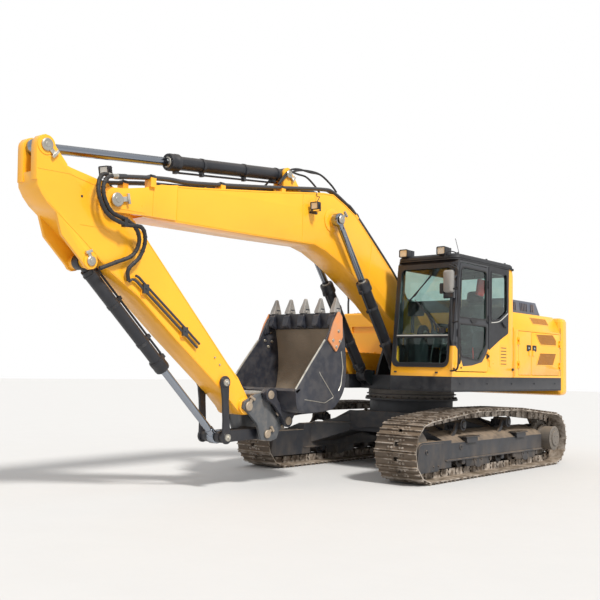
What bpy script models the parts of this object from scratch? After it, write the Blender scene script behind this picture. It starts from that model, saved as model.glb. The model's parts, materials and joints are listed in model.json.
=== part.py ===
"""Crawler excavator, 22 t class: every sub-part as its own solid, standing as it parks.

Metres, +Z up. The machine faces -Y, its left (cab) side is +X, and the ground is Z = 0. The slew
axis is X = 0, Y = 0 while the parts are made; the last step shifts the whole machine so that the
middle of its outline lies over the origin.
"""
from math import acos, atan2, cos, hypot, pi, sin

import bmesh
import bpy
from mathutils import Vector

# ---------------------------------------------------------------- driving dimensions
FIT = 0.0003            # gap between pieces that touch
PIN_PLAY = 0.001        # bore radius over pin radius
BORE_SIDES = 24
SIDE_PLAY = 0.0005      # gap beside a lug on its pin
DOOR_GAP = 0.006        # gap round a door or a lid

# Undercarriage
GAUGE = 2.38            # between the middles of the tracks
SHOE_WIDTH = 0.60
TUMBLER_SPACING = 3.66  # idler centre to sprocket centre
WRAP_RADIUS = 0.375     # to the shoe plates, round idler and sprocket
GROUSER = 0.025
TUMBLER_HEIGHT = WRAP_RADIUS + GROUSER
SHOE_PLATE = 0.022
SHOE_COUNT = 50
LINK_WIDTH = 0.20
LINK_DEPTH = 0.095
CARRIER_Y = (-0.70, 0.62)
CARRIER_RISE = 0.875    # height of the shoe plates over the carrier rollers
CARRIER_RADIUS = 0.065
CARRIER_SLACK = 0.008
ROLLER_RADIUS = 0.08
ROLLER_COUNT = 8
FRAME_INNER_X = GAUGE / 2 - 0.19
FRAME_OUTER_X = GAUGE / 2 + 0.18
FRAME_FRONT_Y = -TUMBLER_SPACING / 2 + 0.52
FRAME_REAR_Y = TUMBLER_SPACING / 2 - 0.28
FRAME_SKIN = 0.06       # cheek plates beside the idler
SPROCKET_RIM = 0.068    # sprocket tread over the final drive's hub
HUB_OUTER_X = GAUGE / 2 + 0.265
HUB_COVER = 0.02        # how far the hub's cover stands proud
CENTRE_HALF = 0.62
SLEW_RADIUS = 0.64
SLEW_BOTTOM = 0.98
SLEW_TOP = 1.12

# Linkage widths and radii
ARM_HALF = 0.16
ARM_BOSS_HALF = ARM_HALF + 0.0245
BOOM_EAR = (ARM_BOSS_HALF + SIDE_PLAY, ARM_BOSS_HALF + SIDE_PLAY + 0.06)
BOOM_HALF = BOOM_EAR[0] + 0.02
BOOM_FOOT_HALF = 0.244
LUG_PLATE = 0.035       # thickness of the arm's lugs for the bucket cylinder
ROD_SLOT_HALF = 0.065   # room for the arm cylinder's rod, whose eye drifts from its pin
ROCKER_PLATE = (ARM_HALF + 0.015, ARM_HALF + 0.045)
LINK_FORK = (0.056, 0.12)
COUPLER_PLATE = (ARM_HALF + 0.035, ARM_HALF + 0.07)
HITCH_EAR = (COUPLER_PLATE[1] + 0.006, COUPLER_PLATE[1] + 0.038)
BUCKET_HALF = 0.56
BUCKET_WALL = 0.03
FOOT_PIN = 0.05
HEAD_PIN = 0.05
SMALL_PIN = 0.04
LIFT_X = BOOM_HALF + 0.105      # boom cylinders, either side of the boom
LIFT_EYE_HALF = 0.046
PUSH_EYE_HALF = 0.05    # eyes of the arm's and the bucket's cylinders

# Upper structure
DECK_BOTTOM = 1.13
DECK_TOP = 1.33
LEFT_X = 1.37
RIGHT_X = -1.36
CAB_INNER_X = LIFT_X + 0.11
CAB_REAR_Y = 0.58
CAB_TOP = 2.97
CAB_WALL = 0.05
CAB_FRONT_FOOT = -1.18  # front of the cab at its floor
CAB_FRONT_HEAD = -1.02  # front of the cab at its roof
HEAD_HEIGHT = 2.86      # where the windscreen plane meets the roof curve
GLASS = 0.008
DOOR_THICK = 0.045
DOOR_FRONT_Y = -1.06
DOOR_REAR_Y = -0.19
DOOR_SILL = 1.40
DOOR_HEAD = 2.86
HOUSE_FRONT_Y = 0.61
HOUSE_REAR_Y = 2.30
HOUSE_TOP = 2.31
HOUSE_SHOULDER = 2.05
HOUSE_CHAMFER = 0.15  # how far the left edge slopes in above the shoulder
HOUSE_WALL = 0.04
PUMP_FRONT_Y = 1.30
PANEL = 0.03
HOOD_TOP = HOUSE_TOP + 0.20
HOOD_REAR_Y = 1.94
TANK_FRONT_Y = 0.06
TANK_SPLIT_Y = 0.70
TANK_INNER_X = -LIFT_X - 0.14
TANK_TOP = 2.30
BOX_FRONT_Y = -1.00
BOX_INNER_X = TANK_INNER_X - 0.10
BOX_TOP = 1.65
WEIGHT_REAR_Y = 2.93
WEIGHT_BOTTOM = 1.05
WEIGHT_TOP = 2.30

# Linkage pivots, as (Y, Z)
BOOM_FOOT = (-0.10, 1.93)
BOOM_HEAD = (-5.81, 3.03)
BOOM_LIFT_BASE = (-0.81, 1.32)
BOOM_LIFT_EYE = (-2.28, 3.34)
ARM_PUSH_BASE = (-3.03, 3.83)
ARM_PUSH_EYE = (-6.57, 3.44)
BUCKET_PUSH_BASE = (-6.02, 2.40)
BUCKET_PIVOT = (-3.805, 0.95)
ROCKER_PIVOT = (-4.155, 1.221)
ROCKER_TIP = (-4.11, 0.603)
LINK_FOOT = (-3.477, 0.618)
HITCH_FRONT = (-3.508, 1.08)
HITCH_REAR = (-3.185, 0.769)


# ---------------------------------------------------------------- outlines
def arc(centre, radius, start, end, steps):
    """Points on an arc, angles in turns."""
    turn = [start + (end - start) * i / steps for i in range(steps + 1)]
    return [(centre[0] + radius * cos(2 * pi * t), centre[1] + radius * sin(2 * pi * t)) for t in turn]


def rounded(corners, steps=4):
    """A closed outline from (a, b, radius) corners."""
    points = []
    for i, (a, b, radius) in enumerate(corners):
        here = Vector((a, b))
        back = (Vector(corners[i - 1][:2]) - here).normalized()
        ahead = (Vector(corners[(i + 1) % len(corners)][:2]) - here).normalized()
        if not radius:
            points.append((a, b))
            continue
        half = acos(max(-1, min(1, back.dot(ahead)))) / 2
        middle = here + (back + ahead).normalized() * radius / sin(half)
        first = here + back * radius * cos(half) / sin(half) - middle
        last = here + ahead * radius * cos(half) / sin(half) - middle
        sweep = first.angle_signed(last)
        for k in range(steps + 1):
            angle = atan2(first.y, first.x) - sweep * k / steps
            turned = Vector((cos(angle), sin(angle))) * radius
            points.append((middle.x + turned.x, middle.y + turned.y))
    return points


def capsule(a, b, radius_a, radius_b, steps=7):
    """The outline round two circles joined by straight sides."""
    run = Vector(b) - Vector(a)
    way = atan2(run.y, run.x) / (2 * pi)
    lean = acos((radius_a - radius_b) / run.length) / (2 * pi)
    return (arc(a, radius_a, way + lean, way + 1 - lean, steps)
            + arc(b, radius_b, way - lean, way + lean, steps))


def between(a, b, share):
    return tuple(p + (q - p) * share for p, q in zip(a, b))


def distance(a, b):
    return hypot(b[0] - a[0], b[1] - a[1])


# ---------------------------------------------------------------- shapes
def scene_object(name, mesh):
    item = bpy.data.objects.new(name, mesh)
    bpy.context.scene.collection.objects.link(item)
    return item


def solid(shape, name="shape"):
    """An object from a bmesh, with its faces turned outwards and its round sides smooth."""
    bmesh.ops.recalc_face_normals(shape, faces=shape.faces)
    if shape.calc_volume(signed=True) < 0:
        bmesh.ops.reverse_faces(shape, faces=shape.faces)
    mesh = bpy.data.meshes.new(name)
    shape.to_mesh(mesh)
    shape.free()
    mesh.shade_smooth()
    mesh.set_sharp_from_angle(angle=0.6)
    return scene_object(name, mesh)


def spread(axis, pair, along):
    """The 3-D point whose in-plane coordinates are pair and whose coordinate on axis is along."""
    a, b = pair
    return {"X": (along, a, b), "Y": (a, along, b), "Z": (a, b, along)}[axis]


def slab(axis, outline, low, high):
    """A flat outline, drawn across the axis, extruded from low to high along it."""
    shape = bmesh.new()
    bottom = [shape.verts.new(spread(axis, p, low)) for p in outline]
    top = [shape.verts.new(spread(axis, p, high)) for p in outline]
    shape.faces.new(bottom)
    shape.faces.new(reversed(top))
    for i in range(len(outline)):
        j = (i + 1) % len(outline)
        shape.faces.new((bottom[j], bottom[i], top[i], top[j]))
    return solid(shape)


def twins(axis, outline, inner, outer):
    """The same slab on both sides of the middle plane."""
    return [slab(axis, outline, inner, outer), slab(axis, outline, -outer, -inner)]


def block(x, y, z):
    return slab("Z", [(x[0], y[0]), (x[1], y[0]), (x[1], y[1]), (x[0], y[1])], *z)


def disc(axis, centre, radius, low, high, sides=16):
    return slab(axis, arc(centre, radius, 0, 1 - 1 / sides, sides - 1), low, high)


def stick(start, end, radius, sides=16):
    """A round bar between two points."""
    start, end = Vector(start), Vector(end)
    run = end - start
    shape = bmesh.new()
    bmesh.ops.create_cone(shape, cap_ends=True, segments=sides, radius1=radius, radius2=radius,
                          depth=run.length)
    turn = run.to_track_quat("Z", "Y").to_matrix().to_4x4()
    turn.translation = (start + end) / 2
    shape.transform(turn)
    return solid(shape)


def loft(first, last):
    """A solid between two outlines of as many 3-D points each."""
    shape = bmesh.new()
    near = [shape.verts.new(p) for p in first]
    far = [shape.verts.new(p) for p in last]
    shape.faces.new(near)
    shape.faces.new(reversed(far))
    for i in range(len(near)):
        j = (i + 1) % len(near)
        shape.faces.new((near[j], near[i], far[i], far[j]))
    bmesh.ops.triangulate(shape, faces=shape.faces)
    return solid(shape)


# ---------------------------------------------------------------- materials, empties, nodes
def material(name, colour, rough, metal=0.0, clear=0.0):
    made = bpy.data.materials.new(name)
    made.use_nodes = True
    shader = made.node_tree.nodes["Principled BSDF"]
    shader.inputs["Base Color"].default_value = (*colour, 1)
    shader.inputs["Roughness"].default_value = rough
    shader.inputs["Metallic"].default_value = metal
    shader.inputs["Transmission Weight"].default_value = clear
    made.diffuse_color = (*colour, 1)
    return made


def pivot(name, where, parent=None):
    """An empty on a joint's axis, which carries the pieces that move there."""
    empty = bpy.data.objects.new(name, None)
    bpy.context.scene.collection.objects.link(empty)
    empty.empty_display_size = 0.2
    empty["place"] = where
    empty.parent = parent
    base = Vector(parent["place"]) if parent else Vector()
    empty.location = Vector(where) - base
    return empty


def helper_group(name, items):
    group = bpy.data.collections.new(name)
    bpy.context.scene.collection.children.link(group)
    for item in items:
        bpy.context.scene.collection.objects.unlink(item)
        group.objects.link(item)
        item.name = name
        item.hide_render = True
        item.display_type = "WIRE"
    return group


def node(name, paint, carrier, add, cut=(), bevel=0.0, rebuild=()):
    """One named solid: its first shape, joined with the rest, less the cuts, plus late additions."""
    main, *others = add
    main.name = name
    main.data.name = name
    main.data.materials.append(paint)
    origin = Vector(carrier["place"])
    if bevel:
        edge = main.modifiers.new("edges", "BEVEL")
        edge.width = bevel
        edge.segments = 2
        edge.limit_method = "ANGLE"
        edge.angle_limit = 0.7
    steps = (("join", "UNION", others), ("cut", "DIFFERENCE", cut), ("late", "UNION", rebuild))
    for label, operation, items in steps:
        if not items:
            continue
        boolean = main.modifiers.new(label, "BOOLEAN")
        boolean.operation = operation
        boolean.solver = "EXACT"
        boolean.operand_type = "COLLECTION"
        boolean.collection = helper_group(f"{name}.{label}", list(items))
    for item in (main, *others, *cut, *rebuild):
        for vertex in item.data.vertices:
            vertex.co -= origin
        item.parent = carrier
    return main


for old in list(bpy.data.objects):
    bpy.data.objects.remove(old, do_unlink=True)

YELLOW = material("machine yellow", (0.87, 0.45, 0.035), 0.38)
BLACK = material("frame black", (0.022, 0.024, 0.03), 0.5)
SLATE = material("hood slate", (0.10, 0.11, 0.14), 0.5)
STEEL = material("track steel", (0.22, 0.17, 0.13), 0.65, 0.8)
DARK = material("bucket steel", (0.035, 0.038, 0.048), 0.55, 0.4)
GREY = material("coupler grey", (0.09, 0.095, 0.105), 0.5, 0.4)
CHROME = material("rod chrome", (0.72, 0.73, 0.75), 0.12, 1.0)
TINT = material("cab glass", (0.32, 0.45, 0.42), 0.05, 0.0, 0.9)
SEAT = material("seat fabric", (0.03, 0.03, 0.035), 0.9)
IRON = material("cast iron", (0.12, 0.115, 0.11), 0.7, 0.7)

machine = pivot("machine", (0, 0, 0))
slew = pivot("slew", (0, 0, SLEW_TOP), machine)


# ---------------------------------------------------------------- tracks
def track_path():
    """The closed line of the shoe plates, from the bottom front round the rear and back."""
    half = TUMBLER_SPACING / 2
    tops = [(half, TUMBLER_HEIGHT)] + [(y, CARRIER_RISE) for y in reversed(CARRIER_Y)]
    tops.append((-half, TUMBLER_HEIGHT))

    def tangent(centre, point, side):
        """Angle of the point where a line from point touches the wrap circle."""
        away = Vector(point) - Vector(centre)
        return atan2(away.y, away.x) + side * acos(WRAP_RADIUS / away.length)

    rear = tangent(tops[0], tops[1], -1)
    front = tangent(tops[-1], tops[-2], 1)
    path = arc(tops[0], WRAP_RADIUS, -0.25, rear / (2 * pi), 40)
    path += tops[1:-1]
    path += arc(tops[-1], WRAP_RADIUS, front / (2 * pi), 0.75, 40)
    return path


def walk(path, count):
    """Points evenly spaced along a closed path."""
    corners = [Vector(p) for p in path]
    legs = list(zip(corners, corners[1:] + corners[:1]))
    pitch = sum((b - a).length for a, b in legs) / count
    marks = []
    travelled = 0.0
    for a, b in legs:
        length = (b - a).length
        while len(marks) < count and pitch * len(marks) < travelled + length:
            marks.append(a.lerp(b, (pitch * len(marks) - travelled) / length))
        travelled += length
    return marks


def inset_loop(points, depth):
    """The closed line moved inwards, for a line that runs anticlockwise."""
    moved = []
    for i, here in enumerate(points):
        run = (points[(i + 1) % len(points)] - points[i - 1]).normalized()
        moved.append(here + Vector((-run.y, run.x)) * depth)
    return moved


def clear_radius(centre, loop):
    """Distance from a centre to the nearest side of a closed line."""
    centre = Vector(centre)
    nearest = []
    for a, b in zip(loop, loop[1:] + loop[:1]):
        share = max(0, min(1, (centre - a).dot(b - a) / (b - a).length_squared))
        nearest.append((centre - a.lerp(b, share)).length)
    return min(nearest)


SHOE_MARKS = walk(track_path(), SHOE_COUNT)
RUNNING_LINE = inset_loop(SHOE_MARKS, SHOE_PLATE + LINK_DEPTH)
TREAD_RADIUS = clear_radius((TUMBLER_SPACING / 2, TUMBLER_HEIGHT), RUNNING_LINE) - FIT
IDLER_RADIUS = clear_radius((-TUMBLER_SPACING / 2, TUMBLER_HEIGHT), RUNNING_LINE) - FIT
HUB_RADIUS = TREAD_RADIUS - SPROCKET_RIM
WHEEL_SIDES = 64        # so many that a flat lies within a hair of the round


def band(outer, inner, low, high):
    """A closed belt between two lines of as many points, across X."""
    shape = bmesh.new()
    rings = []
    for line, x in ((outer, low), (outer, high), (inner, high), (inner, low)):
        rings.append([shape.verts.new((x, p[0], p[1])) for p in line])
    for ring, following in zip(rings, rings[1:] + rings[:1]):
        for i in range(len(ring)):
            j = (i + 1) % len(ring)
            shape.faces.new((ring[i], ring[j], following[j], following[i]))
    return solid(shape)


def track(name, middle):
    """The whole loop: shoes with their grousers outside, and the chain of links inside."""
    tips = inset_loop(SHOE_MARKS, -GROUSER)
    outer = []
    for i in range(SHOE_COUNT):
        j = (i + 1) % SHOE_COUNT
        for line, share in ((SHOE_MARKS, 0.03), (tips, 0.08), (tips, 0.92), (SHOE_MARKS, 0.97)):
            outer.append(line[i].lerp(line[j], share))
    low, high = middle - SHOE_WIDTH / 2, middle + SHOE_WIDTH / 2
    under = slab("X", inset_loop(SHOE_MARKS, SHOE_PLATE), low - 0.1, high + 0.1)
    links = band(inset_loop(SHOE_MARKS, SHOE_PLATE / 2), RUNNING_LINE,
                 middle - LINK_WIDTH / 2, middle + LINK_WIDTH / 2)
    return node(name, STEEL, machine, [slab("X", outer, low, high)], [under], rebuild=[links])


LINK_INSIDE = SHOE_PLATE + LINK_DEPTH      # from the shoe plates' line to the running surface


def track_frame(name, side):
    """One side's frame with its rollers, carriers, guards and steps, drawn for the left."""
    middle = GAUGE / 2
    low, shoulder, top = (TUMBLER_HEIGHT + rise for rise in (-0.15, 0.07, 0.20))
    section = [(FRAME_INNER_X, low), (FRAME_OUTER_X, low), (FRAME_OUTER_X, shoulder),
               (FRAME_OUTER_X - 0.06, shoulder + 0.05), (FRAME_INNER_X + 0.1, top), (FRAME_INNER_X, top)]
    pieces = [("Y", section, FRAME_FRONT_Y, FRAME_REAR_Y)]
    half = TUMBLER_SPACING / 2
    yoke_rear, yoke_reach = FRAME_FRONT_Y + 0.15, WRAP_RADIUS - 0.175
    yoke_low, yoke_high = TUMBLER_HEIGHT - WRAP_RADIUS + 0.135, TUMBLER_HEIGHT + 0.11
    yoke = rounded([(-half - yoke_reach, yoke_low, 0.06), (yoke_rear, yoke_low, 0),
                    (yoke_rear, yoke_high, 0), (-half - yoke_reach + 0.08, yoke_high, 0.1)])
    pieces.append(("X", yoke, FRAME_OUTER_X - FRAME_SKIN, FRAME_OUTER_X))
    pieces.append(("X", yoke, FRAME_INNER_X, FRAME_INNER_X + FRAME_SKIN))
    mount = capsule((FRAME_REAR_Y - 0.35, TUMBLER_HEIGHT), (half, TUMBLER_HEIGHT), 0.15, HUB_RADIUS + 0.02)
    pieces.append(("X", mount, FRAME_INNER_X, FRAME_INNER_X + FRAME_SKIN))
    roller_z = TUMBLER_HEIGHT - WRAP_RADIUS + LINK_INSIDE + FIT + ROLLER_RADIUS
    first, last = FRAME_FRONT_Y + 0.12, FRAME_REAR_Y - 0.16
    for i in range(ROLLER_COUNT):
        y = first + (last - first) * i / (ROLLER_COUNT - 1)
        ring = arc((y, roller_z), ROLLER_RADIUS, 0, 1 - 1 / 16, 15)
        pieces.append(("X", ring, middle - LINK_WIDTH / 2, middle + LINK_WIDTH / 2))
    for y in CARRIER_Y:
        z = CARRIER_RISE - LINK_INSIDE - CARRIER_SLACK - CARRIER_RADIUS
        ring = arc((y, z), CARRIER_RADIUS, 0, 1 - 1 / 16, 15)
        pieces.append(("X", ring, FRAME_INNER_X + FRAME_SKIN, middle + LINK_WIDTH / 2))
        post = [(y - 0.06, top - 0.05), (y + 0.06, top - 0.05), (y + 0.04, z + 0.03), (y - 0.04, z + 0.03)]
        pieces.append(("X", post, FRAME_INNER_X + 0.02, FRAME_INNER_X + 0.08))
    for y in (-0.42, 1.02):
        guard = [(y - 0.32, 0.14), (y + 0.32, 0.14), (y + 0.36, 0.30), (y - 0.36, 0.30)]
        pieces.append(("X", guard, FRAME_OUTER_X - 0.035, FRAME_OUTER_X - 0.010))
        pieces.append(("X", guard, FRAME_INNER_X + 0.010, FRAME_INNER_X + 0.035))
    made = []
    for axis, outline, low, high in pieces:
        if side < 0:
            low, high = (-high, -low) if axis == "X" else (low, high)
            outline = [(-a, b) for a, b in outline] if axis == "Y" else outline
        made.append(slab(axis, outline, low, high))
    return node(name, BLACK, machine, made)


def idler(name, side):
    centre = (-TUMBLER_SPACING / 2, TUMBLER_HEIGHT)
    middle = side * GAUGE / 2
    wheel = disc("X", centre, IDLER_RADIUS, middle - 0.085, middle + 0.085, WHEEL_SIDES)
    axle_low, axle_high = FRAME_INNER_X + FRAME_SKIN + FIT, FRAME_OUTER_X - FRAME_SKIN - FIT
    ends = sorted((side * axle_low, side * axle_high))
    return node(name, IRON, machine, [wheel, disc("X", centre, 0.09, *ends, 20)])


def sprocket(name, side):
    """Toothless wheel under the links, with the final drive's hub outside it."""
    centre = (TUMBLER_SPACING / 2, TUMBLER_HEIGHT)
    middle = side * GAUGE / 2
    wheel = disc("X", centre, TREAD_RADIUS, middle - 0.035, middle + 0.035, WHEEL_SIDES)
    hub = sorted((side * (FRAME_INNER_X + FRAME_SKIN + FIT), side * HUB_OUTER_X))
    cover = sorted((side * (HUB_OUTER_X - 0.005), side * (HUB_OUTER_X + HUB_COVER)))
    return node(name, IRON, machine, [wheel, disc("X", centre, HUB_RADIUS, *hub, 32),
                                      disc("X", centre, 0.12, *cover, 24)])


for side_name, side in (("left", 1), ("right", -1)):
    track(f"{side_name}_track", side * GAUGE / 2)
    track_frame(f"{side_name}_track_frame", side)
    idler(f"{side_name}_idler", side)
    sprocket(f"{side_name}_sprocket", side)


def centre_frame():
    """The box under the slew ring, with four legs that slope out to the track frames."""
    front = CENTRE_HALF + 0.08
    box = [(-CENTRE_HALF, -front), (CENTRE_HALF, -front), (CENTRE_HALF, front), (-CENTRE_HALF, front)]
    pieces = [slab("Z", box, 0.50, 0.79),
              disc("Z", (0, 0), SLEW_RADIUS - 0.02, 0.78, SLEW_BOTTOM, 32)]
    for x_side in (1, -1):
        for y_side in (1, -1):
            root = [(x_side * (CENTRE_HALF - 0.08), y_side * y, z)
                    for y, z in ((0.10, 0.52), (front - 0.02, 0.52), (front - 0.02, 0.77), (0.10, 0.77))]
            toe = [(x_side * (FRAME_INNER_X - FIT), y_side * y, z)
                   for y, z in ((0.55, 0.32), (1.15, 0.32), (1.15, 0.58), (0.55, 0.58))]
            pieces.append(loft(root, toe))
    return node("center_frame", BLACK, machine, pieces)


centre_frame()
node("slew_ring", IRON, machine,
     [disc("Z", (0, 0), SLEW_RADIUS, SLEW_BOTTOM + FIT, SLEW_TOP, 32)],
     [disc("Z", (0, 0), SLEW_RADIUS - 0.16, SLEW_BOTTOM - 0.05, SLEW_TOP + 0.05, 32)])


# ---------------------------------------------------------------- deck
def lug_pair(middle, gap_half, thick):
    """X spans of the two lugs either side of an eye."""
    return ((middle - gap_half - thick, middle - gap_half), (middle + gap_half, middle + gap_half + thick))


def main_frame():
    """The turntable deck with the boom's foot brackets and the boom cylinders' lugs."""
    centre_front = -0.69
    plan = [(RIGHT_X, BOX_FRONT_Y), (TANK_INNER_X + 0.02, BOX_FRONT_Y), (TANK_INNER_X + 0.02, centre_front),
            (CAB_INNER_X - 0.005, centre_front), (CAB_INNER_X - 0.005, CAB_FRONT_FOOT),
            (LEFT_X, CAB_FRONT_FOOT), (LEFT_X, HOUSE_REAR_Y - 0.01), (RIGHT_X, HOUSE_REAR_Y - 0.01)]
    pieces = [slab("Z", plan, DECK_BOTTOM, DECK_TOP),
              disc("Z", (0, 0), SLEW_RADIUS - 0.01, SLEW_TOP + SIDE_PLAY, DECK_BOTTOM + 0.02, 32)]
    bracket = [(-0.55, DECK_TOP - 0.02), (0.55, DECK_TOP - 0.02), (0.50, DECK_TOP + 0.12),
               *arc(BOOM_FOOT, 0.15, 0.04, 0.48, 7), (-0.50, DECK_TOP + 0.12)]
    inner = BOOM_FOOT_HALF + SIDE_PLAY
    pieces += twins("X", bracket, inner, inner + 0.04)
    pieces.append(disc("X", BOOM_FOOT, FOOT_PIN, -inner - 0.06, inner + 0.06))
    for middle in (LIFT_X, -LIFT_X):
        for low, high in lug_pair(middle, LIFT_EYE_HALF + SIDE_PLAY, 0.028):
            lug = [(centre_front + 0.06, DECK_BOTTOM + 0.01), (centre_front + 0.06, DECK_TOP + 0.06),
                   *arc(BOOM_LIFT_BASE, 0.085, 0.20, 0.72, 6)]
            pieces.append(slab("X", lug, low, high))
        pieces.append(disc("X", BOOM_LIFT_BASE, SMALL_PIN, middle - 0.066, middle + 0.066))
    return node("main_frame", BLACK, slew, pieces)


main_frame()


# ---------------------------------------------------------------- hinges
def knuckles(axis, centre, spans, leaf_from, leaf_to):
    """Hinge barrels along an axis, each with a leaf that reaches its own panel."""
    made = []
    for low, high in spans:
        made.append(disc(axis, centre, 0.014, low, high, 10))
        a = [(min(p), max(p)) for p in zip(leaf_from, leaf_to)]
        made.append(slab(axis, [(a[0][0], a[1][0]), (a[0][1], a[1][0]), (a[0][1], a[1][1]),
                                (a[0][0], a[1][1])], low, high))
    return made


def hinge_spans(places, length=0.036):
    """(fixed spans, moving spans) of three-knuckle hinges centred on the places."""
    fixed, moving = [], []
    for place in places:
        moving.append((place - length / 2, place + length / 2))
        fixed.append((place - length * 1.5, place - length / 2 - SIDE_PLAY))
        fixed.append((place + length / 2 + SIDE_PLAY, place + length * 1.5))
    return fixed, moving


HINGE_OUT = 0.016       # how far a hinge's axis stands off its panel


def side_hinge(x_face, y, moving_way, places):
    """Fixed and moving knuckles of an upright hinge on a side panel; moving_way is +1 or -1 in Y."""
    out = 1 if x_face > 0 else -1
    axis_x = x_face + out * HINGE_OUT
    fixed, moving = hinge_spans(places)
    still = knuckles("Z", (axis_x, y), fixed, (x_face - out * 0.004, y), (axis_x, y - moving_way * 0.035))
    swung = knuckles("Z", (axis_x, y), moving, (x_face - out * 0.004, y),
                     (axis_x, y + moving_way * 0.035))
    return still, swung, (axis_x, y)


# ---------------------------------------------------------------- cab
def front_y(z, depth=0.0):
    """Y of the windscreen plane at a height, that far inside the cab."""
    share = (z - DECK_TOP) / (HEAD_HEIGHT - DECK_TOP)
    return CAB_FRONT_FOOT + (CAB_FRONT_HEAD - CAB_FRONT_FOOT) * share + depth


def cab_profile(inset):
    """The cab's side outline, moved inwards."""
    floor, top = DECK_TOP + FIT + inset, CAB_TOP - inset
    return rounded([(front_y(floor, inset), floor, 0), (front_y(HEAD_HEIGHT, inset), HEAD_HEIGHT, 0),
                    (CAB_FRONT_HEAD + 0.09 + inset * 0.5, top, 0.06),
                    (CAB_REAR_Y - 0.05 - inset * 0.5, top, 0.06),
                    (CAB_REAR_Y - inset, top - 0.16, 0.08), (CAB_REAR_Y - inset, floor, 0)], 3)


def sloped_pane(low, high, x, depth, thick, grow=0.0):
    """A pane, or the cut for one, that lies in the windscreen plane."""
    low, high = low - grow, high + grow
    outline = [(front_y(low, depth), low), (front_y(high, depth), high),
               (front_y(high, depth + thick), high), (front_y(low, depth + thick), low)]
    return slab("X", outline, x[0] - grow, x[1] + grow)


FRONT_X = (CAB_INNER_X + 0.07, LEFT_X - 0.07)
LOWER_SCREEN = (1.50, 1.845)
UPPER_SCREEN = (1.885, 2.80)
REAR_WINDOW = [(CAB_INNER_X + 0.10, 2.36), (LEFT_X - 0.10, 2.36),
               (LEFT_X - 0.10, 2.80), (CAB_INNER_X + 0.10, 2.80)]
RIGHT_WINDOW = [(-0.98, 1.72), (0.44, 1.72), (0.44, 2.80), (-0.90, 2.80)]
QUARTER_WINDOW = [(-0.10, 2.10, 0.03), (0.02, 1.98, 0.05), (0.40, 1.98, 0.05), (0.40, 2.80, 0.06),
                  (-0.10, 2.80, 0.03)]
DOOR_WINDOW = [(-0.99, 1.80, 0.06), (-0.80, 1.66, 0.08), (-0.25, 1.66, 0.05), (-0.25, 2.79, 0.05),
               (-0.93, 2.79, 0.05)]


def grown(outline, amount):
    """An outline moved outwards from its middle, corner by corner."""
    points = [Vector(p) for p in outline]
    area = sum(a.x * b.y - b.x * a.y for a, b in zip(points, points[1:] + points[:1]))
    side = 1 if area > 0 else -1
    moved = []
    for i, here in enumerate(points):
        before = (here - points[i - 1]).normalized()
        after = (points[(i + 1) % len(points)] - here).normalized()
        normal = (Vector((before.y, -before.x)) + Vector((after.y, -after.x))) * side
        normal.normalize()
        spread_out = max(0.5, normal.dot(Vector((after.y, -after.x)) * side))
        moved.append(tuple(here + normal * amount / spread_out))
    return moved


DOOR_OUTLINE = rounded([(DOOR_FRONT_Y - 0.03, DOOR_SILL, 0.03), (DOOR_REAR_Y, DOOR_SILL, 0.03),
                        (DOOR_REAR_Y, DOOR_HEAD, 0.05), (DOOR_FRONT_Y + 0.10, DOOR_HEAD, 0.05)])
DOOR_HINGES = (1.62, 2.13, 2.62)
door_still, door_swung, door_axis = side_hinge(LEFT_X, DOOR_REAR_Y + 0.003, -1, DOOR_HINGES)


def cab_shell():
    """The hollow cab, open at its windows and its door."""
    outer = slab("X", cab_profile(0.0), CAB_INNER_X, LEFT_X)
    hollow = slab("X", cab_profile(CAB_WALL), CAB_INNER_X + CAB_WALL, LEFT_X - CAB_WALL)
    cuts = [hollow]
    for low, high in (LOWER_SCREEN, UPPER_SCREEN):
        cuts.append(sloped_pane(low, high, FRONT_X, -0.05, CAB_WALL + 0.12, FIT))
    cuts.append(slab("Y", grown(REAR_WINDOW, FIT), CAB_REAR_Y - 0.1, CAB_REAR_Y + 0.1))
    cuts.append(slab("X", grown(RIGHT_WINDOW, FIT), CAB_INNER_X - 0.1, CAB_INNER_X + 0.1))
    cuts.append(slab("X", grown(rounded(QUARTER_WINDOW), FIT), LEFT_X - 0.1, LEFT_X + 0.1))
    cuts.append(slab("X", grown(DOOR_OUTLINE, DOOR_GAP), LEFT_X - 0.1, LEFT_X + 0.1))
    mast_y, mast_x = front_y(2.5) - 0.085, LEFT_X - 0.02
    mirror = [stick((mast_x, front_y(1.75) + 0.02, 1.75), (mast_x, mast_y, 1.82), 0.013, 12),
              stick((mast_x, mast_y, 1.805), (mast_x, mast_y - 0.03, 2.62), 0.013, 12),
              stick((mast_x, mast_y - 0.03, 2.60), (mast_x, front_y(2.68) + 0.02, 2.68), 0.013, 12),
              slab("X", rounded([(mast_y - 0.05, 2.36, 0.02), (mast_y + 0.0, 2.36, 0.02),
                                 (mast_y + 0.0, 2.60, 0.02), (mast_y - 0.05, 2.60, 0.02)]),
                   mast_x - 0.10, mast_x + 0.05)]
    lamps = [block((x, x + 0.12), (CAB_FRONT_HEAD + 0.05, CAB_FRONT_HEAD + 0.13),
                   (CAB_TOP - 0.04, CAB_TOP + 0.10)) for x in (CAB_INNER_X + 0.06, LEFT_X - 0.30)]
    return node("cab_shell", YELLOW, slew, [outer], cuts, rebuild=[*door_still, *mirror, *lamps])


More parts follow.
